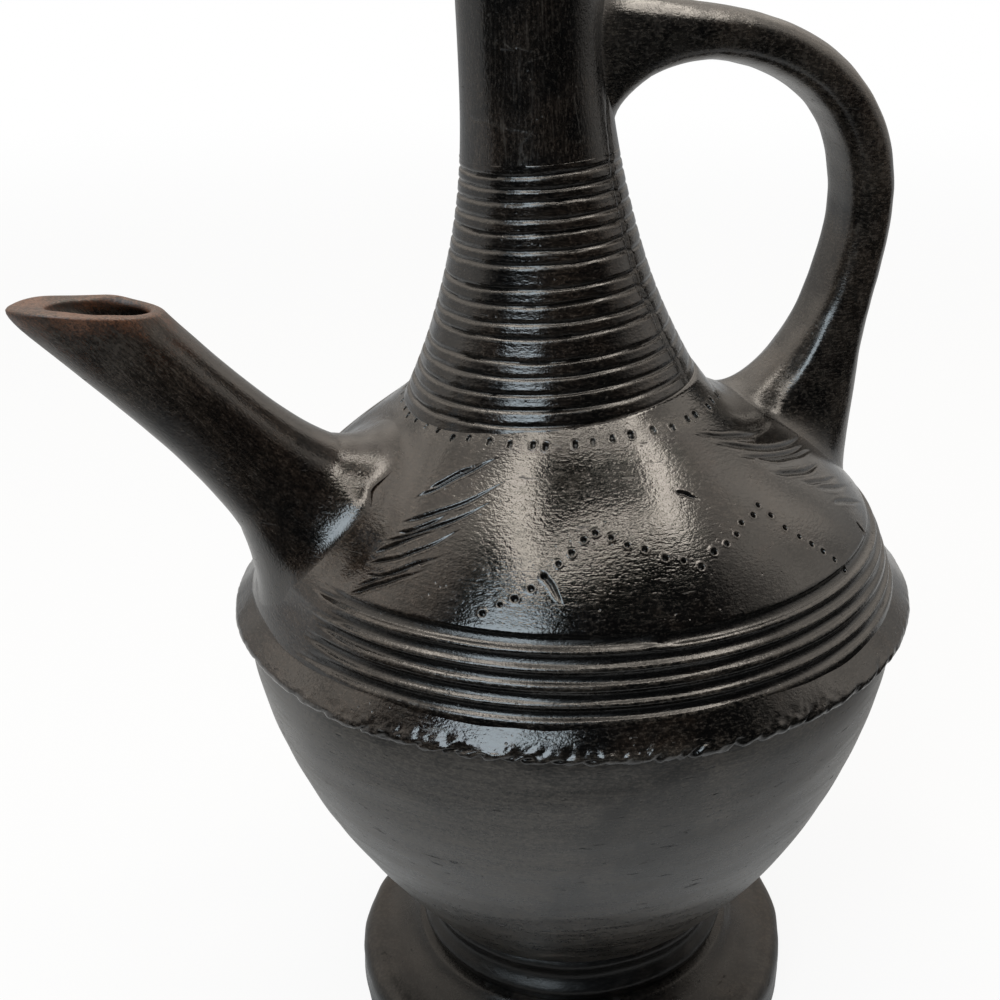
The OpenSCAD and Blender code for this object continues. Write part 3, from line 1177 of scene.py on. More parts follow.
@dataclass(frozen=True)
class ClayFinish:
    """Smoke-blackened clay, rubbed with a pebble.

    Attributes:
        name: Name of the material.
        dark: Colour where the smoke took well, and the colour of the shade painted into hollows.
        brown: Colour where it took less, and towards both ends along x.
        ash: Colour of ash and dust.
        raw: Colour of bare clay.
        raw_dark: Colour of bare clay that is stained.
        brown_from: Cloud value at which the brown starts.
        brown_over: Range of cloud values over which it comes in.
        gloss: Roughness where it is rubbed well.
        matt: Roughness where it is not.
        strokes: Rubbing marks per metre along each axis.
        turn: Turn of the rubbing marks.
        stroke_depth: Depth of the rubbing marks, in millimetres.
        nicks: Short marks of the rubbing stone per metre along each axis.
        nick_depth: Depth of the short marks, in millimetres.
        grain_depth: Depth of the clay's grain, in millimetres.
        dust: Share of ash and dust left on worn places.
        cracks: Depth of fine drying cracks, in millimetres.
        bend: Index of refraction of the rubbed skin.
    """

    name: str
    dark: Colour = (0.0016, 0.0015, 0.0014, 1.0)
    brown: Colour = (0.03, 0.0205, 0.0145, 1.0)
    ash: Colour = (0.13, 0.113, 0.095, 1.0)
    raw: Colour = (0.13, 0.055, 0.028, 1.0)
    raw_dark: Colour = (0.021, 0.0095, 0.0055, 1.0)
    brown_from: float = 0.46
    brown_over: float = 0.24
    gloss: float = 0.1
    matt: float = 0.22
    strokes: tuple[float, float, float] = (240.0, 240.0, 2300.0)
    turn: tuple[float, float, float] = (0.0, 0.0, 0.0)
    stroke_depth: float = 0.012
    nicks: tuple[float, float, float] = (850.0, 850.0, 2100.0)
    nick_depth: float = 0.052
    grain_depth: float = 0.026
    dust: float = 0.4
    cracks: float = 0.0
    bend: float = 1.65

    def material(self) -> Material:
        """Makes the material.

        Returns:
            The clay's material.
        """
        material, bench = new_material(self.name)
        place = bench.place()
        worn = bench.paint(Paint.WORN)
        carved = bench.paint(Paint.CARVED)
        raw = bench.paint(Paint.RAW)
        turned = bench.turned(place, self.turn)
        rubbed = bench.scaled(turned, self.strokes)
        nicks = bench.noise(bench.scaled(turned, self.nicks), 1.0, 1.0, 0.6)
        strokes = bench.noise(rubbed, 1.0, 3.0, 0.6)
        fine = bench.noise(rubbed, 2.7, 2.0, 0.6)
        clouds = bench.noise(place, 24.0, 4.0, 0.6, 0.4)
        patches = bench.noise(place, 95.0, 4.0, 0.65)
        grain = bench.noise(place, 2300.0, 1.0, 0.6)
        split = bench.noise(bench.scaled(place, (1.0, 1.0, 6.5)), 130.0, 3.0, 0.7).rise(0.66, 0.7)
        pits = 1.0 - bench.specks(place, 520.0).rise(0.06, 0.2)
        pits = pits * patches.rise(0.5, 0.62)

        x, _, _ = bench.axes(place)
        # Brown share: random clouds and patches, plus a rise towards both ends along x.
        smoke = clouds * 0.65 + patches * 0.35 + x * x * 16.0
        smoke = smoke.rise(self.brown_from, self.brown_from + self.brown_over)
        streaky = strokes.rise(0.34, 0.68) * 0.45 + nicks.rise(0.36, 0.66) * 0.4
        streaky = streaky + grain.rise(0.4, 0.64) * 0.35
        colour = bench.blend(smoke * streaky, self.dark, self.brown)
        scratches = strokes.rise(0.6, 0.74) * (0.2 + smoke * 0.3)
        flecks = patches.rise(0.4, 0.66) * 0.5 + nicks.rise(0.42, 0.62) * 0.5
        film = nicks.rise(0.5, 0.64) * grain.rise(0.42, 0.58) * 0.3
        dusty = worn * flecks + pits * 0.2 + scratches + film
        colour = bench.blend(dusty.least(1.0) * self.dust, colour, self.ash)
        # Painted shade: hollows take the dark colour; the fine cracks darken too.
        colour = bench.blend((carved * 0.9 + split * (2.5 * self.cracks)).least(1.0), colour, self.dark)
        streaks = (strokes * 0.2 + patches * 0.45 + grain * 0.35).rise(0.38, 0.6)
        bare = (raw * 1.55 - streaks * 0.55).most(0.0).least(1.0)
        colour = bench.blend(bare, colour, bench.blend(streaks, self.raw, self.raw_dark))

        dull = patches.rise(0.35, 0.7) * 0.25 + strokes.rise(0.42, 0.72) * 0.75
        rough = self.gloss + dull * (self.matt - self.gloss) + carved * 0.14 + worn * 0.1
        rough = rough + raw * 0.2 + pits * 0.2 + (grain - 0.5) * 0.12 + (nicks - 0.5) * 0.14
        rough = rough + split * 0.3
        height = strokes * self.stroke_depth + fine * (0.5 * self.stroke_depth)
        height = height + grain * self.grain_depth + nicks * self.nick_depth
        height = height - pits * 0.06 + raw * fine * 0.08 - split * self.cracks
        bench.surface(colour, rough.least(0.95), height, self.bend)
        return material


@dataclass(frozen=True)
class StrawFinish:
    """Dry straw, split and wound.

    Attributes:
        name: Name of the material.
        pale: Colour of fresh straw.
        tan: Colour of handled straw.
        gap_shade: Colour of the shade painted into the gaps.
        bend: Index of refraction of its skin.
    """

    name: str
    pale: Colour = (0.62, 0.44, 0.2, 1.0)
    tan: Colour = (0.36, 0.2, 0.075, 1.0)
    gap_shade: Colour = (0.075, 0.04, 0.016, 1.0)
    bend: float = 1.45

    def material(self) -> Material:
        """Makes the material.

        Returns:
            The straw's material.
        """
        material, bench = new_material(self.name)
        place = bench.place()
        along = bench.paint(Paint.ALONG)
        around = bench.paint(Paint.AROUND)
        worn = bench.paint(Paint.WORN)
        carved = bench.paint(Paint.CARVED)
        axes = bench.node("ShaderNodeCombineXYZ", {}, {0: along * 0.9, 1: around * 9.0, 2: worn * 3.0})
        fibres = bench.noise(axes.outputs[0], 1.0, 3.0, 0.6)
        clouds = bench.noise(place, 160.0, 3.0, 0.6)
        colour = bench.blend((fibres * 0.7 + clouds * 0.5).rise(0.42, 0.8), self.pale, self.tan)
        # Painted shade: gaps between the wraps and the strands' inner sides take the gap colour.
        colour = bench.blend((carved * 0.9).least(1.0), colour, self.gap_shade)
        rough = 0.38 + fibres * 0.2 + carved * 0.25
        height = fibres * 0.12 + bench.noise(place, 2200.0, 2.0) * 0.03
        bench.surface(colour, rough, height, self.bend)
        return material


@dataclass(frozen=True)
class FloorFinish:
    """Matt white floor that keeps the pot's shadow."""

    name: str
    white: Colour = (0.86, 0.86, 0.85, 1.0)
    cloudy: Colour = (0.82, 0.82, 0.815, 1.0)
    seen_white: Colour = (1.0, 1.0, 1.0, 1.0)
    mirrored: Colour = (0.52, 0.54, 0.56, 1.0)
    mirrored_front: Colour = (0.01, 0.01, 0.01, 1.0)
    own_light: float = 0.9

    def material(self) -> Material:
        """Makes the material.

        Returns:
            The floor's material.
        """
        material, bench = new_material(self.name)
        seen, glossy = bench.rays()
        place = bench.place()
        cloud = bench.noise(place, 3.0, 2.0)
        colour = bench.blend(cloud * 0.3, self.white, self.cloudy)
        matt = bench.node("ShaderNodeBsdfDiffuse", {}, {"Color": colour})
        x, y, _ = bench.axes(place)
        away = (x * x + y * y) ** 0.5
        ahead = away.rise(0.1, 0.32) * (0.1 - y).rise(0.0, 0.12)
        dim = bench.blend(ahead, self.mirrored, self.mirrored_front)
        shown = bench.blend(glossy, self.seen_white, dim)
        glow = bench.node("ShaderNodeEmission", {}, {"Color": shown, "Strength": 1.0})
        direct = seen * (self.own_light + away.rise(0.5, 2.0) * (1.0 - self.own_light))
        mirrored = glossy * (0.5 + ahead * 0.48)
        inputs = {0: direct.most(mirrored), 1: matt.outputs[0], 2: glow.outputs[0]}
        bench.end(bench.node("ShaderNodeMixShader", {}, inputs))
        return material


def dress(piece: bpy.types.Object, node: str, rider: Rider) -> None:
    """Puts a piece in its node's place.

    Args:
        piece: The finished piece.
        node: Node of the frame that it stands for.
        rider: Body that it moves with.
    """
    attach(piece, rider.value)
    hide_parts(node)
    LOG.info("%s: %d faces", piece.name, len(piece.data.polygons))


def arc(centre: tuple[float, float], radius: float, start: float, end: float, count: int = 24) -> Array:
    """Points of an arc in an outline, angles in degrees."""
    angles = np.radians(np.linspace(start, end, count + 1))
    return np.stack([centre[0] + radius * np.cos(angles), centre[1] + radius * np.sin(angles)], axis=1)


def line(*points: tuple[float, float]) -> Array:
    """A run of straight outline points."""
    return np.array(points, dtype=float)


def inset(points: Array, depth: float) -> Array:
    """An outline moved inwards along its normals."""
    ways = unit(np.gradient(points, axis=0))
    return points + depth * np.stack([-ways[:, 1], ways[:, 0]], axis=1)


@dataclass
class Foot:
    """Flared foot ring and the ridged coil above it."""

    form: Form
    clay: Material
    edge_h: float = 15.0
    low_round: float = 3.5
    top_round: float = 5.0
    edge_turn: float = 80.0
    rest_w: float = 9.0
    top_r: float = 45.0
    waist_r: float = 41.0
    waist_low_r: float = 43.0
    ridge: float = 1.8
    ridges: int = 2
    waist_wall: float = 10.0
    waist_pressed: float = 0.6
    ring_waves: tuple[Wobble, ...] = (Wobble(11, 0.45, 46.0), Wobble(12, 0.1, 9.0, (1.0, 1.0, 1.6)))
    ring_sunk: float = 0.3
    waist_waves: tuple[Wobble, ...] = (Wobble(21, 0.35, 30.0), Wobble(22, 0.1, 8.0))
    waist_stray: Wobble = Wobble(23, 0.6, 55.0)
    waist_sunk: float = 0.2
    ring_columns: int = 220
    waist_columns: int = 200

    def ring_hand(self, height: Array, angle: Array, points: Array) -> Relief:
        """Relief of the foot ring: uneven pinching and worn edges."""
        worn = 0.8 * bell(height - self.edge_h + 1.0, 2.2) + 0.9 * bell(height - 1.5, 2.5)
        return Relief.raised(waves_at(self.ring_waves, points) - self.ring_sunk, worn)

    def build_ring(self) -> None:
        """Builds the foot ring."""
        _, high = box_mm("foot_ring")
        foot_r, foot_h = high[0], high[2]
        low_edge = arc((foot_r - self.low_round, self.low_round), self.low_round, -90.0, 0.0)
        centre = (foot_r - self.top_round, self.edge_h - self.top_round)
        top_edge = arc(centre, self.top_round, 0.0, self.edge_turn)
        share = np.linspace(0.0, 1.0, 40)
        end = top_edge[-1]
        flare = np.stack([lerp(end[0], self.top_r, share), lerp(end[1], foot_h, share**2)], axis=1)
        outside = np.concatenate([low_edge, top_edge, flare[1:]])
        inner_r = self.top_r - self.waist_wall
        rest_r = foot_r - self.low_round - self.rest_w
        runs = [
            Run(outside, 1.1, 1.0, 4.0),
            Run(line((self.top_r, foot_h), (inner_r, foot_h)), 5.0),
            Run(line((inner_r, foot_h), (rest_r, 0.0)), 2.2),
            Run(line((rest_r, 0.0), (foot_r - self.low_round, 0.0)), 3.0),
        ]
        skin = Turned(Outline(runs), self.ring_columns, stay).skin(self.ring_hand)
        dress(skin.piece("flared_foot", self.clay), "foot_ring", Rider.POT)

    def waist_hand(self, height: Array, angle: Array, points: Array) -> Relief:
        """Relief of the waist: ridges that stray a little, and shade painted over all of it."""
        lift = waves_at(self.waist_waves, points) - self.waist_sunk
        # Painted shade over the whole waist, which lies under the bowl: the 0.6.
        return Relief.raised(lift, 0.1, 0.6, self.waist_stray.at(points))

    def build_waist(self) -> None:
        """Builds the ridged coil, pressed a little into foot and bowl."""
        low, high = box_mm("waist_coil")
        share = np.linspace(0.0, 1.0, 90)
        wave = self.ridge * (1.0 - np.cos(TAU * self.ridges * share)) / 2.0
        heights = lerp(low[2] - self.waist_pressed, high[2] + self.waist_pressed, share)
        outside = np.stack([lerp(self.waist_low_r, self.waist_r, share) + wave, heights], axis=1)
        inner_high = self.waist_r - self.waist_wall
        inner_low = self.top_r - self.waist_wall
        runs = [
            Run(outside, 0.55, 1.0, 1.5),
            Run(line(outside[-1], (inner_high, heights[-1])), 5.0),
            Run(line((inner_high, heights[-1]), (inner_low, heights[0])), 4.0),
            Run(line((inner_low, heights[0]), outside[0]), 5.0),
        ]
        skin = Turned(Outline(runs), self.waist_columns, stay).skin(self.waist_hand)
        dress(skin.piece("ridged_waist", self.clay), "waist_coil", Rider.POT)

    def build(self) -> None:
        """Builds both pieces."""
        self.build_ring()
        self.build_waist()


@dataclass
class HoledDome(Turned):
    """A dome whose top edge follows the round hole under the leaning neck.

    Attributes:
        form: Outlines of the pot.
        top_r: Radius of the outline's top edge.
        start_r: Radius inside which the dome is drawn in to the hole.
    """

    form: Form
    top_r: float
    start_r: float = 50.0

    def drawn(self, radius: Array, angle: Array, height: Array) -> tuple[Array, Array]:
        """Radius and height of the plain dome, drawn in to the hole.

        Args:
            radius: Radii of the outline.
            angle: Angles of the points.
            height: Heights of the outline.

        Returns:
            Radii and heights with the hole off centre.
        """
        hole_r = self.form.neck_base_r - 0.5 * self.form.neck_wall
        middle = self.form.neck_x
        edge = middle * np.cos(angle) + np.sqrt(hole_r**2 - (middle * np.sin(angle)) ** 2)
        pull = np.clip((self.start_r - radius) / (self.start_r - self.top_r), 0.0, 1.0)
        pull = np.where(height > self.form.dome_z, pull, 0.0)
        drawn = radius + pull * (edge - self.top_r)
        return drawn, height + self.form.dome_height(drawn) - self.form.dome_height(radius)


@dataclass
class Body:
    """Bowl, belly band and shoulder.

    Attributes:
        form: Outlines of the pot.
        clay: Rubbed clay of band and shoulder.
        bowl_clay: Matter clay of the bowl.
    """

    form: Form
    clay: Material
    bowl_clay: Material
    floor_edge: tuple[float, float] = (3.0, 1.5)
    band_round: float = 2.2
    crest_low: float = -75.0
    crest_high: float = 36.0
    crest_drop: float = 0.6
    band_over: float = 1.6
    band_pressed: float = 0.8
    band_lifted: float = 0.4
    band_top_sunk: float = 0.25
    band_back: float = 2.0
    crimps: tuple[float, float] = (math.radians(-108.0), math.radians(75.0))
    gouges: int = 170
    gouge_depth: float = 1.05
    bowl_waves: tuple[Wobble, ...] = (Wobble(31, 0.5, 62.0), Wobble(32, 0.09, 14.0, (0.45, 0.45, 1.8)))
    band_waves: tuple[Wobble, ...] = (Wobble(41, 0.35, 44.0), Wobble(42, 0.08, 12.0))
    band_sunk: float = 0.35
    band_stray: Wobble = Wobble(43, 0.45, 48.0)
    crimp_lumps: tuple[Wobble, ...] = (Wobble(45, 0.28, 3.2), Wobble(46, 0.09, 1.6))
    ring_heights: tuple[float, ...] = (137.6, 140.9, 144.8, 148.1, 151.3)
    ring_step: float = 3.6
    ring_depth: float = 0.85
    ring_end: float = 2.4
    dome_under: float = 5.3
    smear: tuple[float, float] = (math.radians(23.0), math.radians(29.0))
    dot_r: float = 0.72
    dot_depth: float = 1.2
    dot_step: float = 4.1
    zigzag: tuple[tuple[float, float], ...] = (
        (-125.0, 155.0),
        (-105.5, 169.0),
        (-85.0, 162.0),
        (-64.5, 168.0),
        (-53.5, 152.0),
    )
    ring_dot_step: float = 4.9
    ring_dot_long: float = 0.55
    ring_dot_r: float = 39.7
    ring_dot_x: float = -3.0
    stroke_w: float = 0.74
    stroke_depth: float = 0.6
    bowl_columns: int = 300
    band_columns: int = 960
    shoulder_columns: int = 480

    def bowl_hand(self, height: Array, angle: Array, points: Array) -> Relief:
        """Relief of the bowl: uneven coiling and rubbing."""
        worn = 0.55 * bell(self.form.seam_z - 6.0 - height, 5.0)
        return Relief.raised(waves_at(self.bowl_waves, points), worn)

    def build_bowl(self) -> None:
        """Builds the bowl with its closed floor."""
        form = self.form
        heights = lerp(form.bowl_z, form.seam_z, np.linspace(0.0, 1.0, 120))
        outside = np.stack([form.bowl_out(heights), heights], axis=1)
        floor_z = form.bowl_z + form.floor_t
        inner = inset(outside, form.wall)[::-1]
        inner = inner[inner[:, 1] > floor_z + self.floor_edge[1]]
        inner[0] = (form.bowl_r - form.wall, form.seam_z)
        floor_r = inner[-1][0] - self.floor_edge[0]
        runs = [
            Run(line((0.0, form.bowl_z), (form.bowl_base_r, form.bowl_z)), 6.0),
            Run(outside, 1.5, 1.0, 3.0),
            Run(line(outside[-1], inner[0]), 4.0),
            Run(inner, 3.0),
            Run(line(inner[-1], (floor_r, floor_z)), 2.0),
            Run(line((floor_r, floor_z), (0.0, floor_z)), 6.0),
        ]
        wall = Turned(Outline(runs, closed=False), self.bowl_columns, stay)
        skin = wall.skin(self.bowl_hand)
        dress(skin.piece("round_bowl", self.bowl_clay), "lower_bowl", Rider.POT)

    def band_hand(self, height: Array, angle: Array, points: Array) -> Relief:
        """Relief of the belly band: gouges that press its lower edge onto the bowl.

        Args:
            height: Heights of the points.
            angle: Their angles.
            points: Their places.

        Returns:
            The relief.
        """
        up = height - self.form.seam_z
        front = bell(angle_gap(angle, self.crimps[0]), 0.62)
        back = bell(angle_gap(angle, self.crimps[1]), 0.8)
        crimped = np.clip(1.25 * np.maximum(front, 0.8 * back) + 0.12, 0.0, 1.0)
        lift = waves_at(self.band_waves, points) - self.band_sunk
        lift = lift + crimped * ease(3.4, 0.6, up) * (waves_at(self.crimp_lumps, points) - 0.25)
        # Painted shade on the band's underside, below the seam.
        carved = 0.8 * ease(-0.4, -2.0, up)
        crest = np.hypot(points[:, 0], points[:, 1]).max()
        along = angle * crest
        pitch = TAU * crest / self.gouges
        jitter = spread_numbers(44, 4 * self.gouges, -1.0, 1.0).reshape(4, self.gouges)
        for number, (aside, firm, tilt, broad) in enumerate(jitter.T):
            middle = number * pitch + 0.45 * pitch * aside
            force = np.clip(0.45 + 0.85 * firm, 0.0, 1.0)
            slant = 0.9 + 0.5 * tilt
            width = 1.05 + 0.45 * broad
            gap = angle_gap((along - middle - slant * up) / crest, 0.0) * crest
            cut = force * bell(gap, width) * ease(1.7 + 0.9 * tilt, 0.1, up)
            lift = lift - self.gouge_depth * crimped * cut
            # Painted shade in each gouge.
            carved = np.maximum(carved, np.clip(crimped * cut, 0.0, 1.0))
        # Paler ash flecks along the crimped crest: wear on the edge, and painted warm glints.
        worn = 0.55 * bell(up - 0.4, 1.0) * crimped
        return Relief(self.band_stray.at(points), np.minimum(lift, 0.0), worn, carved)

    def build_band(self) -> None:
        """Builds the band that covers the seam."""
        form = self.form
        low, high = box_mm("belly_band")
        belly_r, low_z, top_z = high[0], low[2], high[2]
        centre = (belly_r - self.band_round, form.seam_z - self.crest_drop)
        crest = arc(centre, self.band_round, self.crest_low, self.crest_high)
        top_z = top_z + self.band_over
        start = (float(form.bowl_out(low_z)) - self.band_pressed, low_z + self.band_lifted)
        under = line(start, tuple(crest[0]))
        top = (float(form.shoulder_out(top_z)) - self.band_top_sunk, top_z)
        slope = line(tuple(crest[-1]), top)
        outside = np.concatenate([under, crest[1:], slope[1:]])
        inner = (form.bowl_r - self.band_back, form.seam_z)
        runs = [
            Run(outside, 0.34, 1.0, 1.2),
            Run(line(top, (top[0] - 1.0, top_z - 0.3), inner), 3.0),
            Run(line(inner, start), 3.0),
        ]
        skin = Turned(Outline(runs), self.band_columns, stay).skin(self.band_hand)
        dress(skin.piece("crimped_band", self.clay), "belly_band", Rider.POT)

    def on_dome(self, angle: Array, z: Array) -> Array:
        """Points of the plain shoulder at angles in degrees and heights."""
        return polar(self.form.shoulder_out(z), np.radians(angle), z)

    def between(self, start: Sequence[float], end: Sequence[float], side: float, share: Array) -> Array:
        """Points of the plain shoulder between two places, each given as angle and height."""
        return self.on_dome(side * lerp(start[0], end[0], share), lerp(start[1], end[1], share))

    def dots(self) -> Marks:
        """Punched dots: a zigzag at the front and the back, and a ring round the neck.

        Returns:
            The dots as marks.
        """
        spots: list[Array] = []
        for side in (1.0, -1.0):
            for start, end in zip(self.zigzag, self.zigzag[1:]):
                path = self.between(start, end, side, np.linspace(0.0, 1.0, 60))
                count = max(2, round(lengths_along(path)[-1] / self.dot_step))
                spots.append(self.between(start, end, side, np.arange(count) / count))
            spots.append(self.between(end, end, side, np.zeros(1)))
        zig_count = sum(len(group) for group in spots)
        count = round(TAU * self.ring_dot_r / self.ring_dot_step)
        turn = TAU * (np.arange(count) + 0.25 * spread_numbers(51, count, -1.0, 1.0)) / count
        away = self.ring_dot_r + spread_numbers(52, count, -0.5, 0.5)
        x = self.ring_dot_x + away * np.cos(turn)
        y = away * np.sin(turn)
        radius = np.hypot(x, y)
        for reach in (radius, radius + self.ring_dot_long):
            spots.append(polar(reach, np.arctan2(y, x), self.form.dome_height(reach)))
        places = np.concatenate(spots)
        strays = [spread_numbers(53 + axis, zig_count, -0.45, 0.45) for axis in range(3)]
        stray = np.stack(strays, axis=1)
        places[:zig_count] = self.form.on_shoulder(places[:zig_count] + stray, 0.0)
        width = self.dot_r * spread_numbers(56, len(places), 0.85, 1.15)
        depth = self.dot_depth * spread_numbers(57, len(places), 0.7, 1.15)
        depth[zig_count:] *= np.tile(spread_numbers(58, count, 0.3, 1.0), 2)
        return Marks(places, width, depth, floor=0.4, burr=0.06)

    def strokes(self) -> Marks:
        """Combed strokes beside the spout's root and below the handle's.

        Returns:
            The strokes as marks.
        """
        ends = [
            ((-151.0, 153.0), (-139.0, 160.0)),
            ((-151.5, 154.6), (-136.0, 163.0)),
            ((-150.0, 156.4), (-141.0, 161.0)),
            ((-151.0, 158.5), (-133.0, 168.0)),
            ((-151.0, 160.4), (-138.0, 167.0)),
            ((-151.0, 162.0), (-129.0, 173.0)),
            ((-149.0, 164.4), (-137.0, 170.0)),
            ((-150.0, 166.0), (-128.0, 177.0)),
            ((-150.0, 170.0), (-131.0, 179.5)),
            ((-148.0, 172.6), (-137.0, 178.0)),
            ((-68.0, 181.6), (-28.0, 176.0)),
            ((-64.0, 179.0), (-10.0, 167.0)),
            ((-58.0, 176.0), (-22.0, 168.0)),
            ((-53.0, 174.0), (-22.0, 166.0)),
            ((-51.0, 171.5), (-27.0, 164.5)),
            ((-45.0, 167.0), (-26.0, 161.0)),
            ((-41.0, 164.0), (-24.0, 157.5)),
            ((-40.0, 161.0), (-26.0, 153.5)),
            ((-116.0, 162.7), (-111.0, 157.5)),
            ((-83.5, 173.6), (-80.3, 171.7)),
            ((-39.0, 155.5), (-39.0, 152.4)),
        ]
        spots: list[Array] = []
        widths: list[Array] = []
        depths: list[Array] = []
        for side in (1.0, -1.0):
            for number, (start, end) in enumerate(ends):
                maker = np.random.default_rng(600 + number + (50 if side < 0 else 0))
                first = np.array(start) + maker.uniform(-1.0, 1.0, 2) * (0.8, 0.4)
                last = np.array(end) + maker.uniform(-1.0, 1.0, 2) * (1.5, 0.5)
                share = np.linspace(0.0, 1.0, 110)
                bow = maker.uniform(-0.8, 0.8) * np.sin(math.pi * share)
                bow = bow + 0.07 * np.sin(maker.uniform(10.0, 18.0) * share + maker.uniform(0.0, TAU))
                level = lerp(first[1], last[1], share) + bow
                spots.append(self.on_dome(side * lerp(first[0], last[0], share), level))
                press = 0.04 + 0.96 * ease(0.0, 0.2, share) * ease(1.0, 0.55, share)
                beat = np.sin(maker.uniform(5.0, 9.0) * share + maker.uniform(0.0, TAU))
                press = press * (0.88 + 0.12 * beat)
                broad = 1.6 if -70.0 < start[0] < -39.5 else 1.0
                wide = self.stroke_w * broad * (0.55 + 0.45 * press)
                widths.append(wide * maker.uniform(0.85, 1.15))
                firm = 1.15 if start[0] < -50.0 else 0.75
                depths.append(self.stroke_depth * firm * press * maker.uniform(0.75, 1.1))
        return Marks(*(np.concatenate(parts) for parts in (spots, widths, depths)), floor=0.0, burr=0.12)

    def shoulder_hand(self, height: Array, angle: Array, points: Array) -> Relief:
        """Relief of the shoulder: ring grooves that end beside the spout, and unevenness.

        Args:
            height: Heights of the points.
            angle: Their angles.
            points: Their places.

        Returns:
            The relief without the marks.
        """
        start = tuple(math.radians(angle) for angle in (175.0, 178.0, 182.0, 180.0, -96.0))
        rings = Rings(
            heights=self.ring_heights,
            step=self.ring_step,
            half=1.35,
            hollow=3.2,
            depth=self.ring_depth,
            lip=0.1,
            waver=0.36,
            seed=61,
            start=start,
            slip=0.5,
        )
        ragged = 0.05 * np.sin(1.3 * height) + 0.03 * np.sin(3.1 * height)
        off_spout = np.abs(angle_gap(angle, math.pi)) + ragged
        grooves = rings.relief(height, angle).faded(ease(*self.smear, off_spout))
        off_ring = np.hypot(points[:, 0] - self.ring_dot_x, points[:, 1]) - self.ring_dot_r
        scuff = np.where(height > self.form.dome_z, 0.9 * bell(off_ring, 2.2), 0.0)
        grooves.worn = np.maximum(grooves.worn, scuff)
        return grooves + Relief.raised(self.form.dome_rise(points))

    def build_shoulder(self) -> None:
        """Builds the ring-grooved band and the dome as one wall."""
        form = self.form
        band_end = self.ring_heights[-1] + self.ring_end
        low = np.linspace(form.seam_z, band_end, 90)
        band = np.stack([form.shoulder_out(low), low], axis=1)
        top_r = form.neck_base_r - 0.5 * form.neck_wall - self.dome_under
        radii = np.linspace(float(form.shoulder_out(band_end)), top_r, 200)
        dome = np.stack([radii, form.dome_height(radii)], axis=1)
        inner = inset(np.concatenate([band, dome[1:]]), form.wall)[::-1]
        inner[-1] = (form.bowl_r - form.wall, form.seam_z)
        runs = [
            Run(band, 0.36, 1.0),
            Run(dome, 1.1, 1.0),
            Run(line(dome[-1], inner[0]), 2.0),
            Run(inner, 3.0),
            Run(line(inner[-1], band[0]), 3.0),
        ]
        wall = HoledDome(Outline(runs), self.shoulder_columns, stay, form, top_r)
        skin = wall.skin(self.shoulder_hand, (self.dots(), self.strokes()))
        dress(skin.piece("ringed_shoulder", self.clay), "shoulder", Rider.POT)

    def build(self) -> None:
        """Builds the three pieces."""
        self.build_bowl()
        self.build_band()
        self.build_shoulder()


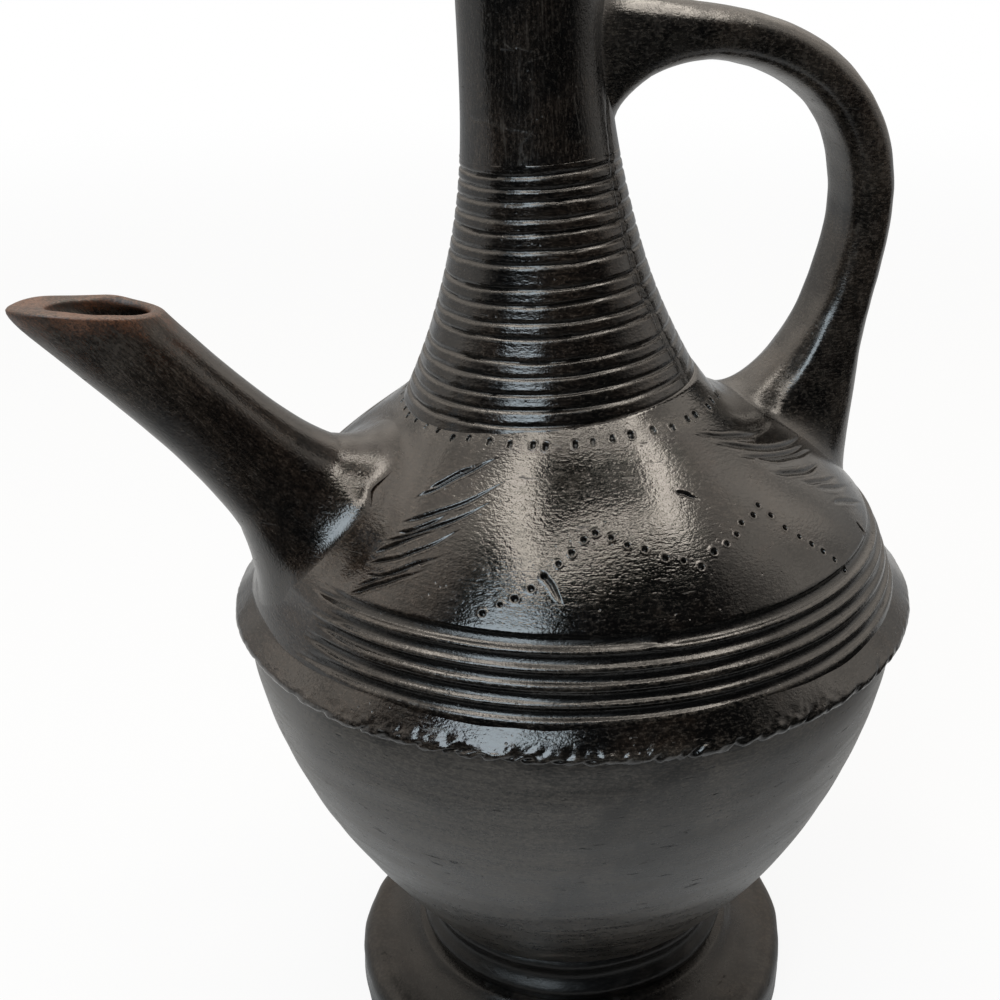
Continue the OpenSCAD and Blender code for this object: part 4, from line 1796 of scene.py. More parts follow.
@dataclass
class Neck:
    """Ringed flare, plain tube and rolled mouth of the leaning neck.

    Attributes:
        form: Outlines of the pot.
        clay: Clay rubbed round the neck.
        tube_clay: Clay rubbed up and down.
    """

    form: Form
    clay: Material
    tube_clay: Material
    ring_low: float = 2.4
    ring_step: float = 3.35
    ring_gap: float = 1.8
    ring_depth: float = 0.64
    ring_groups: tuple[int, ...] = (5, 4, 7)
    flare_edge: float = 2.2
    crease_w: float = 0.7
    crease_depth: float = 0.4
    smear_t: float = 0.12
    scrape_depth: float = 0.04
    flare_pressed: float = 6.0
    flare_step: float = 0.33
    tube_step: float = 0.9
    flare_columns: int = 260
    tube_columns: int = 180
    waves: tuple[Wobble, ...] = (Wobble(72, 0.3, 38.0), Wobble(73, 0.09, 9.0, (1.0, 1.0, 0.2)))

    def ring_heights(self) -> tuple[float, ...]:
        """Heights of the grooves above the seat.

        Returns:
            One height per groove, from the seat up.
        """
        heights: list[float] = []
        for group, count in enumerate(self.ring_groups):
            first = self.ring_low + len(heights) * self.ring_step + group * self.ring_gap
            heights.extend(first + number * self.ring_step for number in range(count))
        jitter = spread_numbers(74, len(heights), -0.32, 0.32)
        lowest = self.ring_low - self.ring_step
        return (lowest, *(float(height + stray) for height, stray in zip(heights, jitter)))

    def crease_angle(self, height: Array) -> Array:
        """Angle of the upright crease where the grooves start and end."""
        levels = (3.0, 20.0, 28.0, 54.0, 67.0, 78.0)
        return np.interp(height, levels, np.radians((-43.0, -46.0, -51.0, -49.0, -42.0, -35.0)))

    def crease(self, height: Array, angle: Array) -> Relief:
        """Relief of the crease on both sides of the clay smeared down from the handle.

        Args:
            height: Heights of the points.
            angle: Their angles.

        Returns:
            The relief.
        """
        gap = self.smear_gap(height, angle)
        cut = np.clip(1.0 - np.abs(gap) / self.crease_w, 0.0, 1.0) ** 1.3
        cut = cut * ease(1.0, 5.0, height) * ease(80.0, 62.0, height)
        smear = self.smear_t * ease(-0.2, 1.4, gap) * ease(-2.0, 8.0, height)
        # Painted shade: the crease is darkened.
        return Relief.raised(smear - self.crease_depth * cut, carved=cut)

    def smear_gap(self, height: Array, angle: Array) -> Array:
        """How far points lie inside the clay smeared down from the handle.

        Args:
            height: Heights of the points.
            angle: Their angles.

        Returns:
            Millimetres round the neck, less than 0 outside the smear.
        """
        turn = angle_gap(angle, 0.0)
        front = 0.01 * np.sin(0.5 * height) + 0.004 * np.sin(1.9 * height + 1.0)
        back = 0.016 * np.sin(0.37 * height + 2.0) + 0.005 * np.sin(1.6 * height)
        stray = np.where(turn < 0.0, front, back)
        return (np.abs(self.crease_angle(height)) + stray - np.abs(turn)) * self.form.neck_out(height)

    def flare_hand(self, height: Array, angle: Array, points: Array) -> Relief:
        """Relief of the ringed flare.

        Args:
            height: Heights of the points above the seat.
            angle: Their angles.
            points: Their places in the neck's frame.

        Returns:
            The relief.
        """
        heights = self.ring_heights()
        start = tuple(float(self.crease_angle(np.array(middle))) for middle in heights)
        rings = Rings(
            heights=heights,
            step=self.ring_step,
            half=0.68,
            hollow=1.1,
            depth=self.ring_depth,
            lip=0.03,
            waver=0.42,
            seed=71,
            start=start,
            slip=0.7,
        )
        edge = heights[-1] + self.flare_edge
        joint = ease(edge, heights[-1] + 0.5 * self.flare_edge, height)
        left = joint * (1.0 - 0.55 * ease(-0.6, 0.9, self.smear_gap(height, angle)))
        cut = rings.relief(height, angle).faded(left, joint)
        return cut + self.crease(height, angle) + Relief.raised(waves_at(self.waves, points))

    def mouth_hand(self, height: Array, angle: Array, points: Array) -> Relief:
        """Relief of the mouth."""
        return Relief.raised(waves_at(self.waves, points))

    def scrapes(self) -> Marks:
        """Dusty scrapes on the tube.

        Returns:
            The scrapes as marks.
        """
        paths = [
            (
                (-166.0, 68.3),
                (-140.0, 67.0),
                (-113.0, 65.2),
                (-121.0, 63.0),
                (-118.0, 60.0),
                (-121.0, 58.6),
            ),
            ((-130.0, 84.5), (-122.0, 82.6)),
            ((-120.0, 83.5), (-104.0, 81.8)),
            ((-112.0, 80.4), (-96.0, 80.9)),
            ((-78.0, 72.0), (-76.0, 64.0)),
            ((20.0, 66.0), (44.0, 69.0), (40.0, 62.0)),
            ((95.0, 74.0), (112.0, 71.5)),
        ]
        spots: list[Array] = []
        widths: list[Array] = []
        for number, corners in enumerate(paths):
            share = np.linspace(0.0, 1.0, 60 * (len(corners) - 1))
            stops = np.linspace(0.0, 1.0, len(corners))
            angle, level = read_columns(share, stops, np.array(corners)).T
            stray = Wobble(76 + number, 0.35, 5.0)
            spot = polar(self.form.neck_out(level), np.radians(angle), level)
            spots.append(spot + stray.at(spot)[:, None] * np.array([0.0, 0.0, 1.0]))
            broad = 0.85 if number == 0 else 0.4
            widths.append(broad * spread_numbers(90 + number, len(share), 0.4, 1.1))
        width = np.concatenate(widths)
        depth = np.full(len(width), self.scrape_depth)
        return Marks(np.concatenate(spots), width, depth, floor=0.0, burr=0.2, dust=0.4)

    def tube_hand(self, height: Array, angle: Array, points: Array) -> Relief:
        """Relief of the plain tube: its crease and unevenness."""
        return Relief.raised(waves_at(self.waves, points)) + self.crease(height, angle)

    def wall(self, low: float, high: float, step: float, spare: float) -> Outline:
        """Outline of a stretch of the neck.

        Args:
            low: Height of its lower end above the seat.
            high: Height of its upper end.
            step: Distance between mesh rows outside.
            spare: How far the outside runs on below the lower end.

        Returns:
            The closed outline.
        """
        form = self.form
        outer_h = np.linspace(low - spare, high, 160)
        inner_h = np.linspace(high, low, 60)
        outside = np.stack([form.neck_out(outer_h), outer_h], axis=1)
        inside = np.stack([form.neck_out(inner_h) - form.neck_wall, inner_h], axis=1)
        runs = [
            Run(outside, step, 1.0),
            Run(line(outside[-1], inside[0]), 3.0),
            Run(inside, 3.0),
            Run(line(inside[-1], outside[0]), 3.0),
        ]
        return Outline(runs)

    def build_flare(self) -> None:
        """Builds the ringed flare, whose foot is pressed into the dome."""
        high = self.ring_heights()[-1] + self.flare_edge
        outline = self.wall(0.0, high, self.flare_step, self.flare_pressed)
        skin = Turned(outline, self.flare_columns, self.form.from_neck).skin(self.flare_hand)
        dress(skin.piece("ringed_neck", self.clay), "neck_flare", Rider.POT)

    def build_tube(self) -> None:
        """Builds the plain tube."""
        low = self.ring_heights()[-1] + self.flare_edge
        outline = self.wall(low, self.form.neck_h - self.form.rim_h, self.tube_step, 0.0)
        wall = Turned(outline, self.tube_columns, self.form.from_neck)
        skin = wall.skin(self.tube_hand, (self.scrapes(),))
        dress(skin.piece("plain_neck", self.tube_clay), "neck_tube", Rider.POT)

    def build_rim(self) -> None:
        """Builds the rolled lip of the mouth."""
        form = self.form
        low = form.neck_h - form.rim_h
        inner_r = float(form.neck_out(form.neck_h)) - form.neck_wall
        lip_r = 0.5 * (form.mouth_r + form.rim_out - inner_r)
        lip = arc((inner_r + lip_r, form.neck_h - lip_r), lip_r, 0.0, 180.0, 40)
        start = (float(form.neck_out(low)), low)
        end = (float(form.neck_out(low)) - form.neck_wall, low)
        share = np.linspace(0.0, 1.0, 20)[:-1]
        swell = lerp(start[0], lip[0][0], share**1.6)
        side = np.stack([swell, lerp(low, lip[0][1], share)], axis=1)
        outside = np.concatenate([side, lip])
        runs = [
            Run(outside, 0.6, 0.6, 2.0),
            Run(line(lip[-1], end), 1.5),
            Run(line(end, start), 3.0),
        ]
        skin = Turned(Outline(runs), self.tube_columns, form.from_neck).skin(self.mouth_hand)
        dress(skin.piece("rolled_mouth", self.tube_clay), "mouth_rim", Rider.POT)

    def build(self) -> None:
        """Builds the three pieces."""
        self.build_flare()
        self.build_tube()
        self.build_rim()


@dataclass
class Spout:
    """Hollow spout, smoothed onto the dome and cut at a slant."""

    form: Form
    clay: Material
    root_h: float = 31.0
    rise: float = math.radians(50.0)
    mouth_h: float = 84.0
    cut: float = math.radians(7.0)
    radius: float = 10.6
    root_r: float = 20.0
    root_sweep: float = 4.0
    bore_r: float = 6.6
    bore_root_r: float = 8.6
    bore_up: float = 1.2
    beak: float = 3.7
    beak_sweep: float = 1.15
    lip: float = 1.4
    rim_w: float = 2.9
    tip_w: float = 11.6
    edge_round: float = 1.1
    tip_round: float = 9.5
    tip_droop: float = 0.9
    crown: float = 0.25
    sunk: float = 3.0
    edge_side: float = 3.6
    edge_under: float = 9.0
    edge_top: float = 4.0
    proud: float = 0.6
    shaft_from: float = 0.14
    funnel: float = 0.22
    proud_turns: tuple[float, float] = (5.38, 0.9)
    proud_w: float = 0.16
    rim_shares: tuple[float, ...] = (1.0, 1.0, 1.0, 1.02, 1.05, 1.08, 1.1, 1.1)
    waves: tuple[Wobble, ...] = (Wobble(81, 0.3, 34.0), Wobble(82, 0.04, 12.0))
    smoke_waves: tuple[Wobble, ...] = (Wobble(83, 0.03, 9.0), Wobble(84, 0.02, 3.0))
    rim_waves: Wobble = Wobble(85, 0.3, 13.0)
    sides: int = 160

    def __post_init__(self) -> None:
        """Works out the axis."""
        form = self.form
        root_z = form.seam_z + self.root_h
        self.way = np.array([-math.cos(self.rise), 0.0, math.sin(self.rise)])
        self.above = np.array([math.sin(self.rise), 0.0, math.cos(self.rise)])
        self.root = np.array([-float(form.shoulder_out(root_z)), 0.0, root_z])
        length = (form.seam_z + self.mouth_h - root_z) / math.sin(self.rise)
        self.mouth = self.root + length * self.way
        self.length = float(np.linalg.norm(self.mouth - self.root))
        self.face = np.array([math.sin(self.cut), 0.0, math.cos(self.cut)])
        self.turns = once_round(self.sides)
        self.bottom = np.maximum(0.0, -np.cos(self.turns))

    def offset(self, radius: Array | float, up: Array | float = 0.0, beak: Array | float = 0.0) -> Array:
        """Offsets of the lines from the axis."""
        rise = radius * np.cos(self.turns) + up - beak * self.bottom**3
        return rise[:, None] * self.above + (radius * np.sin(self.turns))[:, None] * ACROSS

    def start(self, offset: Array) -> Array:
        """Places along the axis where lines meet the shoulder."""
        return -land(self.form.off_shoulder, self.root + offset, -self.way, -self.root_r, self.root_r)

    def end(self, offset: Array) -> Array:
        """Places along the axis where lines meet the cut of the mouth."""
        return (self.mouth - self.root - offset) @ self.face / (self.way @ self.face)

    def ring(
        self,
        share: Array | float,
        radius: Array | float,
        root_r: float,
        up: float = 0.0,
        beak: Array | float = 0.0,
    ) -> Array:
        """A ring at a share of the way from shoulder to mouth.

        Args:
            share: Share of the way.
            radius: Radius there.
            root_r: Radius at the root.
            up: How far its middle is raised.
            beak: How far its underside is drawn out.

        Returns:
            One place per line.
        """
        offset = self.offset(radius, up, beak)
        along = lerp(self.start(self.offset(root_r)), self.end(offset), share)
        return self.root + along[:, None] * self.way + offset

    def shaft(self, share: Array | float) -> Array:
        """A ring of the outside."""
        radius = lerp(self.radius, self.root_r, (1.0 - share) ** self.root_sweep)
        return self.ring(share, radius, self.root_r, 0.0, self.beak * share**self.beak_sweep)

    def bore(self, share: float) -> Array:
        """A ring of the bore."""
        radius = lerp(self.bore_root_r, self.bore_r, share)
        return self.ring(share, radius, self.bore_root_r, self.bore_up * share)

    def root_rows(self) -> Array:
        """Rows of the root, smoothed onto the dome.

        Returns:
            Rows from inside the wall to where the shaft starts.
        """
        form = self.form
        top = np.maximum(0.0, np.cos(self.turns))
        proud = np.maximum(*(bell(self.turns - turn, self.proud_w) for turn in self.proud_turns))
        spread = self.edge_side + self.edge_under * self.bottom**2 + self.edge_top * top**2
        spread = spread * (1.0 - self.proud * proud)
        corner = self.shaft(0.0)
        outward = unit(self.offset(1.0))
        edge = form.on_pressed(corner + spread[:, None] * outward, 0.1 - self.proud * proud)
        level = 0.1 + spread**2 / form.root_bend
        hollow = swept(edge, form.on_pressed(corner, -level), self.shaft(self.shaft_from), 12)
        return np.concatenate([form.on_shoulder(corner, self.sunk)[None], hollow])

    def rim_rows(self, last: Array) -> Array:
        """Rows over the rim of the mouth.

        Args:
            last: Share of the way at which the rounding of each line starts.

        Returns:
            Rows from the shaft's end to the inner edge.
        """
        outer = self.shaft(1.0)
        back = outer[0]
        tip = outer[self.sides // 2]
        reach = float(np.linalg.norm(tip - back))
        ahead = (tip - back) / reach
        drawn = self.rim_w + (outer - back) @ ahead * (1.0 - (self.rim_w + self.tip_w) / reach)
        aside = outer @ ACROSS * (1.0 - self.rim_w / self.radius)
        edge_in = back + drawn[:, None] * ahead + aside[:, None] * ACROSS
        crown = self.crown + self.rim_waves.at(outer) - self.tip_droop * self.bottom**4
        crest = lerp(outer, edge_in, 0.5) + crown[:, None] * self.face
        inner = edge_in - self.lip * self.face
        over = swept(self.shaft(last), outer, crest, 9)[1:]
        return np.concatenate([over, swept(crest, edge_in, inner, 8), inner[None]])

    def bore_rows(self, inner: Array) -> tuple[list[Array], list[float]]:
        """Rows from the mouth's inner edge down the bore.

        Args:
            inner: The inner edge.

        Returns:
            The rows, and how far inside each lies, from 0 to -1.
        """
        rows: list[Array] = []
        depths: list[float] = []
        start = 1.0 - self.lip / self.length
        for step in np.linspace(0.0, 1.0, 12)[1:]:
            sunk = inner - (self.funnel * self.length * step) * self.way
            rows.append(lerp(sunk, self.bore(start - self.funnel * step), ease(0.0, 1.0, step)))
            depths.append(-0.9 * step)
        rows.extend(self.bore(share) for share in np.linspace(0.7, 0.0, 12))
        rows.append(self.form.on_shoulder(self.bore(0.0), self.sunk))
        depths.extend([-1.0] * (len(rows) - len(depths)))
        return rows, depths

    def traces(self, points: Array, share: Array) -> dict[Paint, Array]:
        """What knife, smoke and use left on the spout, with shade painted down its bore.

        Args:
            points: Its places.
            share: Share of the way to the mouth, less than 0 inside.

        Returns:
            The values that its finish reads.
        """
        outside = share > 0.0
        ragged = share + waves_at(self.smoke_waves, points)
        smoked = 0.6 * ease(0.86, 1.0, ragged) + 0.2 * ease(0.6, 0.95, share)
        smoked = smoked + 0.2 * ease(1.0, 1.08, share)
        raw = np.where(outside, smoked, 0.7 * ease(-0.2, 0.0, share)) * (share != 0.0)
        worn = np.where(outside, ease(0.45, 1.0, share), 0.0)
        # Painted shade: the bore darkens from the mouth inwards.
        return {Paint.WORN: worn, Paint.CARVED: ease(0.0, -0.5, share), Paint.RAW: raw}

    def build(self) -> None:
        """Builds the spout."""
        rows = list(self.root_rows())
        shares = [0.0] * len(rows)
        last = 1.0 - (self.edge_round + self.tip_round * self.bottom**8) / self.length
        for step in np.linspace(0.0, 1.0, 64):
            rows.append(self.shaft(lerp(self.shaft_from, last, step)))
            shares.append(float(lerp(self.shaft_from, last.mean(), step)))
        rows.extend(self.rim_rows(last))
        shares.extend([*self.rim_shares, *self.rim_shares[::-1], 1.0])
        bore, depths = self.bore_rows(rows[-1])
        rows.extend(bore)
        shares.extend(depths)
        points = np.stack(rows).reshape(-1, 3)
        share = np.repeat(np.array(shares), self.sides)
        axis = points - self.root
        away = axis - (axis @ self.way)[:, None] * self.way
        rise = ease(0.02, 0.2, share) * waves_at(self.waves, points)
        points = points + rise[:, None] * unit(away)
        points[:, 0] = np.maximum(points[:, 0], box_mm("spout")[0][0])
        faces = lattice(len(rows), self.sides, True).tolist()
        piece = Skin(points, faces, self.traces(points, share)).piece("slant_spout", self.clay)
        dress(piece, "spout", Rider.POT)


def bend(points: Array, share: Array) -> Array:
    """Points of a curve with four guide points."""
    t = share[:, None]
    return ((1 - t) ** 3 * points[0] + 3 * (1 - t) ** 2 * t * points[1]
            + 3 * (1 - t) * t**2 * points[2] + t**3 * points[3])


@dataclass
class Handle:
    """Loop handle, smoothed onto neck and shoulder."""

    form: Form
    clay: Material
    top_h: float = 80.0
    root_h: float = 35.0
    reach: float = 80.0
    rise: float = 10.0
    thick: float = 11.5
    low_thick: float = 16.0
    wide: float = 20.0
    top_flare: float = 7.0
    root_flare: float = 10.0
    root_spread: float = 5.0
    top_share: float = 0.14
    root_share: float = 0.3
    top_fade: float = 0.16
    root_fade: float = 0.2
    top_cut: int = 7
    root_cut: int = 14
    fold: float = 0.75
    top_edge: tuple[float, float] = (2.2, 3.0)
    root_edge: tuple[float, float, float] = (1.2, 5.5, 4.2)
    edge_sunk: tuple[float, float] = (0.35, 0.2)
    end_sunk: tuple[float, float] = (2.5, 3.0)
    end_in: float = 2.0
    square_in: float = 2.9
    square_out: float = 2.25
    waves: tuple[Wobble, ...] = (Wobble(91, 0.4, 30.0), Wobble(92, 0.1, 9.0))
    sides: int = 72
    steps: int = 150

    def middle(self, share: Array) -> Array:
        """Middle line of the handle.

        Args:
            share: Shares of the way from neck to shoulder.

        Returns:
            One place per share.
        """
        form = self.form
        start = form.from_neck(np.array([float(form.neck_out(self.top_h)), 0.0, self.top_h]))
        root_z = form.seam_z + self.root_h
        end = np.array([float(form.shoulder_out(root_z)), 0.0, root_z])
        bend_z = lerp(end[2], start[2], 0.6)
        over = np.array([
            start,
            (lerp(start[0], self.reach, 0.52), 0.0, start[2] + self.rise),
            (self.reach, 0.0, lerp(bend_z, start[2], 0.85)),
            (self.reach, 0.0, bend_z),
        ])
        down = np.array([
            over[3],
            (self.reach, 0.0, lerp(bend_z, end[2], 0.27)),
            (lerp(self.reach, end[0], 0.4), 0.0, lerp(bend_z, end[2], 0.58)),
            end,
        ])
        first = bend(over, np.clip(2.0 * share, 0.0, 1.0))
        second = bend(down, np.clip(2.0 * share - 1.0, 0.0, 1.0))
        return np.where((share < 0.5)[:, None], first, second)

    def ovals(self, share: Array) -> tuple[Array, Array, Array]:
        """Ovals along the handle.

        Args:
            share: Shares of the way.

        Returns:
            Offsets from the middle line by row and point, their middles, and the directions.
        """
        turns = once_round(self.sides)
        middles = self.middle(share)
        small = 1e-4
        ahead = self.middle(np.minimum(share + small, 1.0))
        ways = unit(ahead - self.middle(np.maximum(share - small, 0.0)))
        top_pull = np.maximum(0.0, 1.0 - share / self.top_share) ** 2
        root_pull = np.maximum(0.0, 1.0 - (1.0 - share) / self.root_share) ** 2
        half_t = lerp(self.thick, self.low_thick, share) / 2
        half_t = half_t + self.top_flare * top_pull + self.root_flare * root_pull
        half_w = self.wide / 2 + self.root_spread * root_pull
        square = 2.0 / np.where(np.cos(turns) > 0.0, self.square_in, self.square_out)
        cosine = np.sign(np.cos(turns)) * np.abs(np.cos(turns)) ** square
        sine = np.sign(np.sin(turns)) * np.abs(np.sin(turns)) ** square
        inward = np.stack([ways[:, 2], np.zeros(len(ways)), -ways[:, 0]], axis=1)
        offsets = (half_t[:, None] * cosine)[:, :, None] * inward[:, None, :]
        offsets = offsets + (half_w[:, None] * sine)[:, :, None] * ACROSS
        return offsets, middles, ways

    def loop_rows(self) -> tuple[Array, Array]:
        """Rows of the loop, each end brought onto its wall.

        Returns:
            Places by row and point, and the direction out of the loop at each.
        """
        form = self.form
        share = np.linspace(0.0, 1.0, self.steps)
        offsets, middles, ways = self.ovals(share)
        rows = middles[:, None, :] + offsets
        top_travel = land(form.off_neck, rows[0], -ways[0], -12.0, 14.0)
        root_travel = land(form.off_shoulder, rows[-1], ways[-1], -22.0, 24.0)
        top_fade = np.maximum(0.0, 1.0 - share / self.top_fade) ** 1.5
        root_fade = np.maximum(0.0, 1.0 - (1.0 - share) / self.root_fade) ** 1.5
        rows = rows - (top_fade[:, None] * top_travel)[:, :, None] * ways[0]
        rows = rows + (root_fade[:, None] * root_travel)[:, :, None] * ways[-1]
        outward = unit(offsets)
        aside = np.abs(angle_gap(once_round(self.sides), 0.0))
        folds = np.cos(7.0 * (aside - 0.95)) * bell(aside - 0.85, 0.6)
        rise = waves_at(self.waves, rows) + self.fold * (ease(0.78, 0.97, share)[:, None] * folds)
        free = (1.0 - top_fade) * (1.0 - 0.7 * root_fade)
        return rows + free[:, None, None] * rise[:, :, None] * outward, outward

    def build(self) -> None:
        """Builds the handle."""
        form = self.form
        rows, outward = self.loop_rows()
        turns = once_round(self.sides)
        inner = np.maximum(0.0, np.cos(turns))
        top_spread = self.top_edge[0] + self.top_edge[1] * inner
        plain, under, beside = self.root_edge
        root_spread = plain + under * inner**2 + beside * np.sin(turns) ** 2
        top_edge = form.on_neck(rows[0] + top_spread[:, None] * outward[0], self.edge_sunk[0])
        root_edge = form.on_pressed(rows[-1] + root_spread[:, None] * outward[-1], self.edge_sunk[1])
        top_rows = swept(top_edge, form.on_neck(rows[0], -0.1), rows[self.top_cut], 9)
        root_corner = form.on_pressed(rows[-1], -(0.1 + root_spread**2 / form.root_bend))
        root_rows = swept(root_edge, root_corner, rows[-1 - self.root_cut], 16)[::-1]
        inside_top = form.on_neck(rows[0] - self.end_in * outward[0], self.end_sunk[0])
        inside_root = form.on_shoulder(rows[-1] - self.end_in * outward[-1], self.end_sunk[1])
        loop = rows[self.top_cut:-1 - self.root_cut]
        parts = [inside_top[None], top_rows, loop, root_rows, inside_root[None]]
        points, faces = closed_ends(np.concatenate(parts)[:, ::-1])
        none = np.zeros(len(points))
        paint = {Paint.WORN: none + 0.35, Paint.CARVED: none, Paint.RAW: none}
        piece = Skin(points, faces, paint).piece("loop_handle", self.clay)
        dress(piece, "handle", Rider.POT)


@dataclass
class Stopper:
    """Straw stopper: a wound plug, a coiled cap and a twisted loop."""

    form: Form
    straw: Material
    plug_room: float = 0.8
    plug_depth: float = 26.0
    plug_over: float = 0.2
    plug_pitch: float = 3.7
    plug_straw: float = 1.7
    plug_wrap: float = 1.5
    plug_end: tuple[float, float] = (1.75, 1.4)
    plug_end_turns: float = 3.0
    cap_r: float = 24.0
    cap_h: float = 13.0
    cap_rows: float = 5.35
    cap_gap: float = 0.2
    cap_straw: float = 2.5
    cap_wrap: float = 1.75
    cap_slope: float = 29.5
    loop_r: float = 7.5
    loop_straw_r: float = 2.2
    loop_ends: tuple[float, float] = (-68.0, 248.0)
    loop_twists: float = 9.0
    loop_wrap: float = 60.0
    sides: int = 14
    core_sides: int = 48

    def wound(
        self,
        path: Array,
        outward: Array,
        wide: Array | float,
        thick: Array | float,
        wrap: float,
    ) -> Skin:
        """A straw strand along a path, wrapped with thinner straw.

        Args:
            path: Places along the strand.
            outward: Direction out of the wound form at each place.
            wide: Half width of the strand along the form, one or one per place.
            thick: Half thickness out of the form, one or one per place.
            wrap: Distance from one wrap to the next.

        Returns:
            The closed strand.
        """
        ways = unit(np.gradient(path, axis=0))
        beside = unit(np.cross(ways, outward))
        outward = np.cross(beside, ways)
        turns = once_round(self.sides)
        wave = TAU * lengths_along(path)[:, None] / wrap + 1.1 * np.sin(turns)[None, :]
        ridge = np.abs(np.sin(0.5 * wave))
        swell = 1.0 - 0.13 * (1.0 - ridge) ** 1.5
        rise = np.broadcast_to(thick, len(path))[:, None] * swell * np.cos(turns)
        aside = np.broadcast_to(wide, len(path))[:, None] * swell * np.sin(turns)
        points = path[:, None, :] + rise[:, :, None] * outward[:, None, :]
        points = points + aside[:, :, None] * beside[:, None, :]
        closed, faces = closed_ends(points)
        number = np.floor(wave / TAU)
        # Painted shade between the wraps and on the side turned in towards the form.
        carved = np.clip(1.0 - 2.4 * ridge, 0.0, 1.0) + np.maximum(0.0, -np.cos(turns))[None, :]
        paint = {
            Paint.ALONG: np.broadcast_to(turns[None, :] * 1.6, wave.shape),
            Paint.AROUND: wave / TAU,
            Paint.WORN: np.mod(number * 0.618, 1.0),
            Paint.CARVED: np.clip(carved, 0.0, 1.0),
        }
        paint = {key: np.append(values.ravel(), (0.5, 0.5)) for key, values in paint.items()}
        return Skin(closed, faces, paint)

    def core(self, radius: Array, height: Array) -> Skin:
        """Dark core that fills the gaps between strands, as painted shade seen through them.

        Args:
            radius: Radii of the core's rings.
            height: Their heights.

        Returns:
            The closed core, in the neck's frame.
        """
        turns = once_round(self.core_sides)
        heights = np.broadcast_to(height[:, None], (len(height), self.core_sides))
        points, faces = closed_ends(polar(radius[:, None], turns[None, :], heights))
        none = np.zeros(len(points))
        turn = np.arctan2(points[:, 1], points[:, 0])
        paint = {
            Paint.ALONG: turn * 4.0,
            Paint.AROUND: none,
            Paint.WORN: none,
            # painted shade: the whole core takes the gap colour
            Paint.CARVED: none + 0.75,
        }
        return Skin(points, faces, paint)

    def finished(self, skins: Sequence[Skin], name: str, node: str) -> None:
        """Joins strands, brings them to the leaning neck and dresses them.

        Args:
            skins: Strands in the neck's frame.
            name: Name of the piece.
            node: Node that it stands for.
        """
        skin = Skin.joined(skins)
        skin.points = self.form.from_neck(skin.points)
        dress(skin.piece(name, self.straw), node, Rider.STOPPER)

    def build_plug(self) -> None:
        """Builds the wound plug."""
        form = self.form
        low, high = form.neck_h - self.plug_depth, form.neck_h + self.plug_over
        half = 0.5 * self.plug_pitch
        rows = (high - low) / self.plug_pitch
        share = np.linspace(0.0, 1.0, int(rows * 60))
        turn = TAU * rows * share
        height = lerp(low + half, high - half, share)

        def side(h: Array) -> Array:
            """Radius that the plug may have at a height."""
            level = np.minimum(h, form.neck_h - form.rim_h)
            return form.neck_out(level) - form.neck_wall - self.plug_room

        radius = side(height - half) - self.plug_straw - 0.1
        path = polar(radius, turn, height)
        outward = polar(np.ones_like(turn), turn, np.zeros_like(turn))
        strand = self.wound(path, outward, 0.54 * self.plug_pitch, self.plug_straw, self.plug_wrap)
        levels = np.array([low + 0.6, low + 1.2, 0.5 * (low + high), high - 0.4, high])
        inside = side(levels) - 1.6
        inside[0] -= 1.5
        inside[-1] -= 2.0
        core = self.core(inside, levels)
        coil_share = np.linspace(0.0, 1.0, 420)
        flat_r = lerp(0.8, float(radius[0]) - 1.2, coil_share)
        flat_turn = TAU * self.plug_end_turns * coil_share
        flat_path = polar(flat_r, flat_turn, np.full_like(flat_r, low + 1.5))
        down = np.tile(np.array([0.0, 0.0, -1.0]), (len(flat_r), 1))
        end = self.wound(flat_path, down, *self.plug_end, self.plug_wrap)
        self.finished((strand, core, end), "straw_plug", "stopper_plug")

    def build_cap(self) -> None:
        """Builds the coiled cap."""
        base = self.form.neck_h + self.cap_gap
        thick = self.cap_straw
        share = np.linspace(0.0, 1.0, 1500)
        turn = TAU * self.cap_rows * share
        climb = math.pi / 2 * (share * (1.0 - 0.04) + 0.1 * share * (1.0 - share))
        radius = (self.cap_r - thick) * np.cos(climb)
        height = base + thick + (self.cap_h - thick) * np.sin(climb)
        lift = unit(np.stack([np.cos(climb) / self.cap_r, np.sin(climb) / self.cap_h], axis=1))
        outward = polar(lift[:, 0], turn, lift[:, 1])
        wide = 0.56 * (self.cap_slope / self.cap_rows)
        thinned = thick * np.clip(20.0 * (1.0 - share), 0.5, 1.0)
        strand = self.wound(polar(radius, turn, height), outward, wide, thinned, self.cap_wrap)
        strand.points[:, 2] = np.maximum(strand.points[:, 2], base)
        tilt = np.linspace(0.0, 1.45, 9)
        core_r = np.concatenate([[3.0], (self.cap_r - 2.6) * np.cos(tilt)])
        core_h = base + np.concatenate([[0.25], 0.25 + (self.cap_h - 2.2) * np.sin(tilt)])
        core = self.core(core_r, core_h)
        hem_turn = np.linspace(0.0, TAU, 300)
        none = np.zeros_like(hem_turn)
        hem_path = polar(none + self.cap_r - thick, hem_turn, none + base + thick)
        hem = self.wound(hem_path, polar(none + 1.0, hem_turn, none), thick, thick, self.cap_wrap)
        self.finished((strand, hem, core), "straw_cap", "stopper_cap")

    def build_loop(self) -> None:
        """Builds the twisted loop."""
        base = self.form.neck_h + self.cap_gap + self.cap_h
        middle = base + 0.7 * self.loop_r
        turn = np.radians(np.linspace(*self.loop_ends, 360))
        strand_r = 0.52 * self.loop_straw_r
        skins: list[Skin] = []
        for number in range(2):
            twist = self.loop_twists * turn + math.pi * number
            away = self.loop_r + strand_r * 0.86 * np.cos(twist)
            aside = strand_r * 0.86 * np.sin(twist)
            path = np.stack([away * np.cos(turn), aside, middle + away * np.sin(turn)], axis=1)
            outward = np.stack([np.cos(turn), np.zeros_like(turn), np.sin(turn)], axis=1)
            thick = strand_r * 1.05
            skins.append(self.wound(path, outward, thick, thick, self.loop_wrap))
        self.finished(skins, "straw_loop", "stopper_loop")

    def build(self) -> None:
        """Builds the three pieces."""
        self.build_plug()
        self.build_cap()
        self.build_loop()


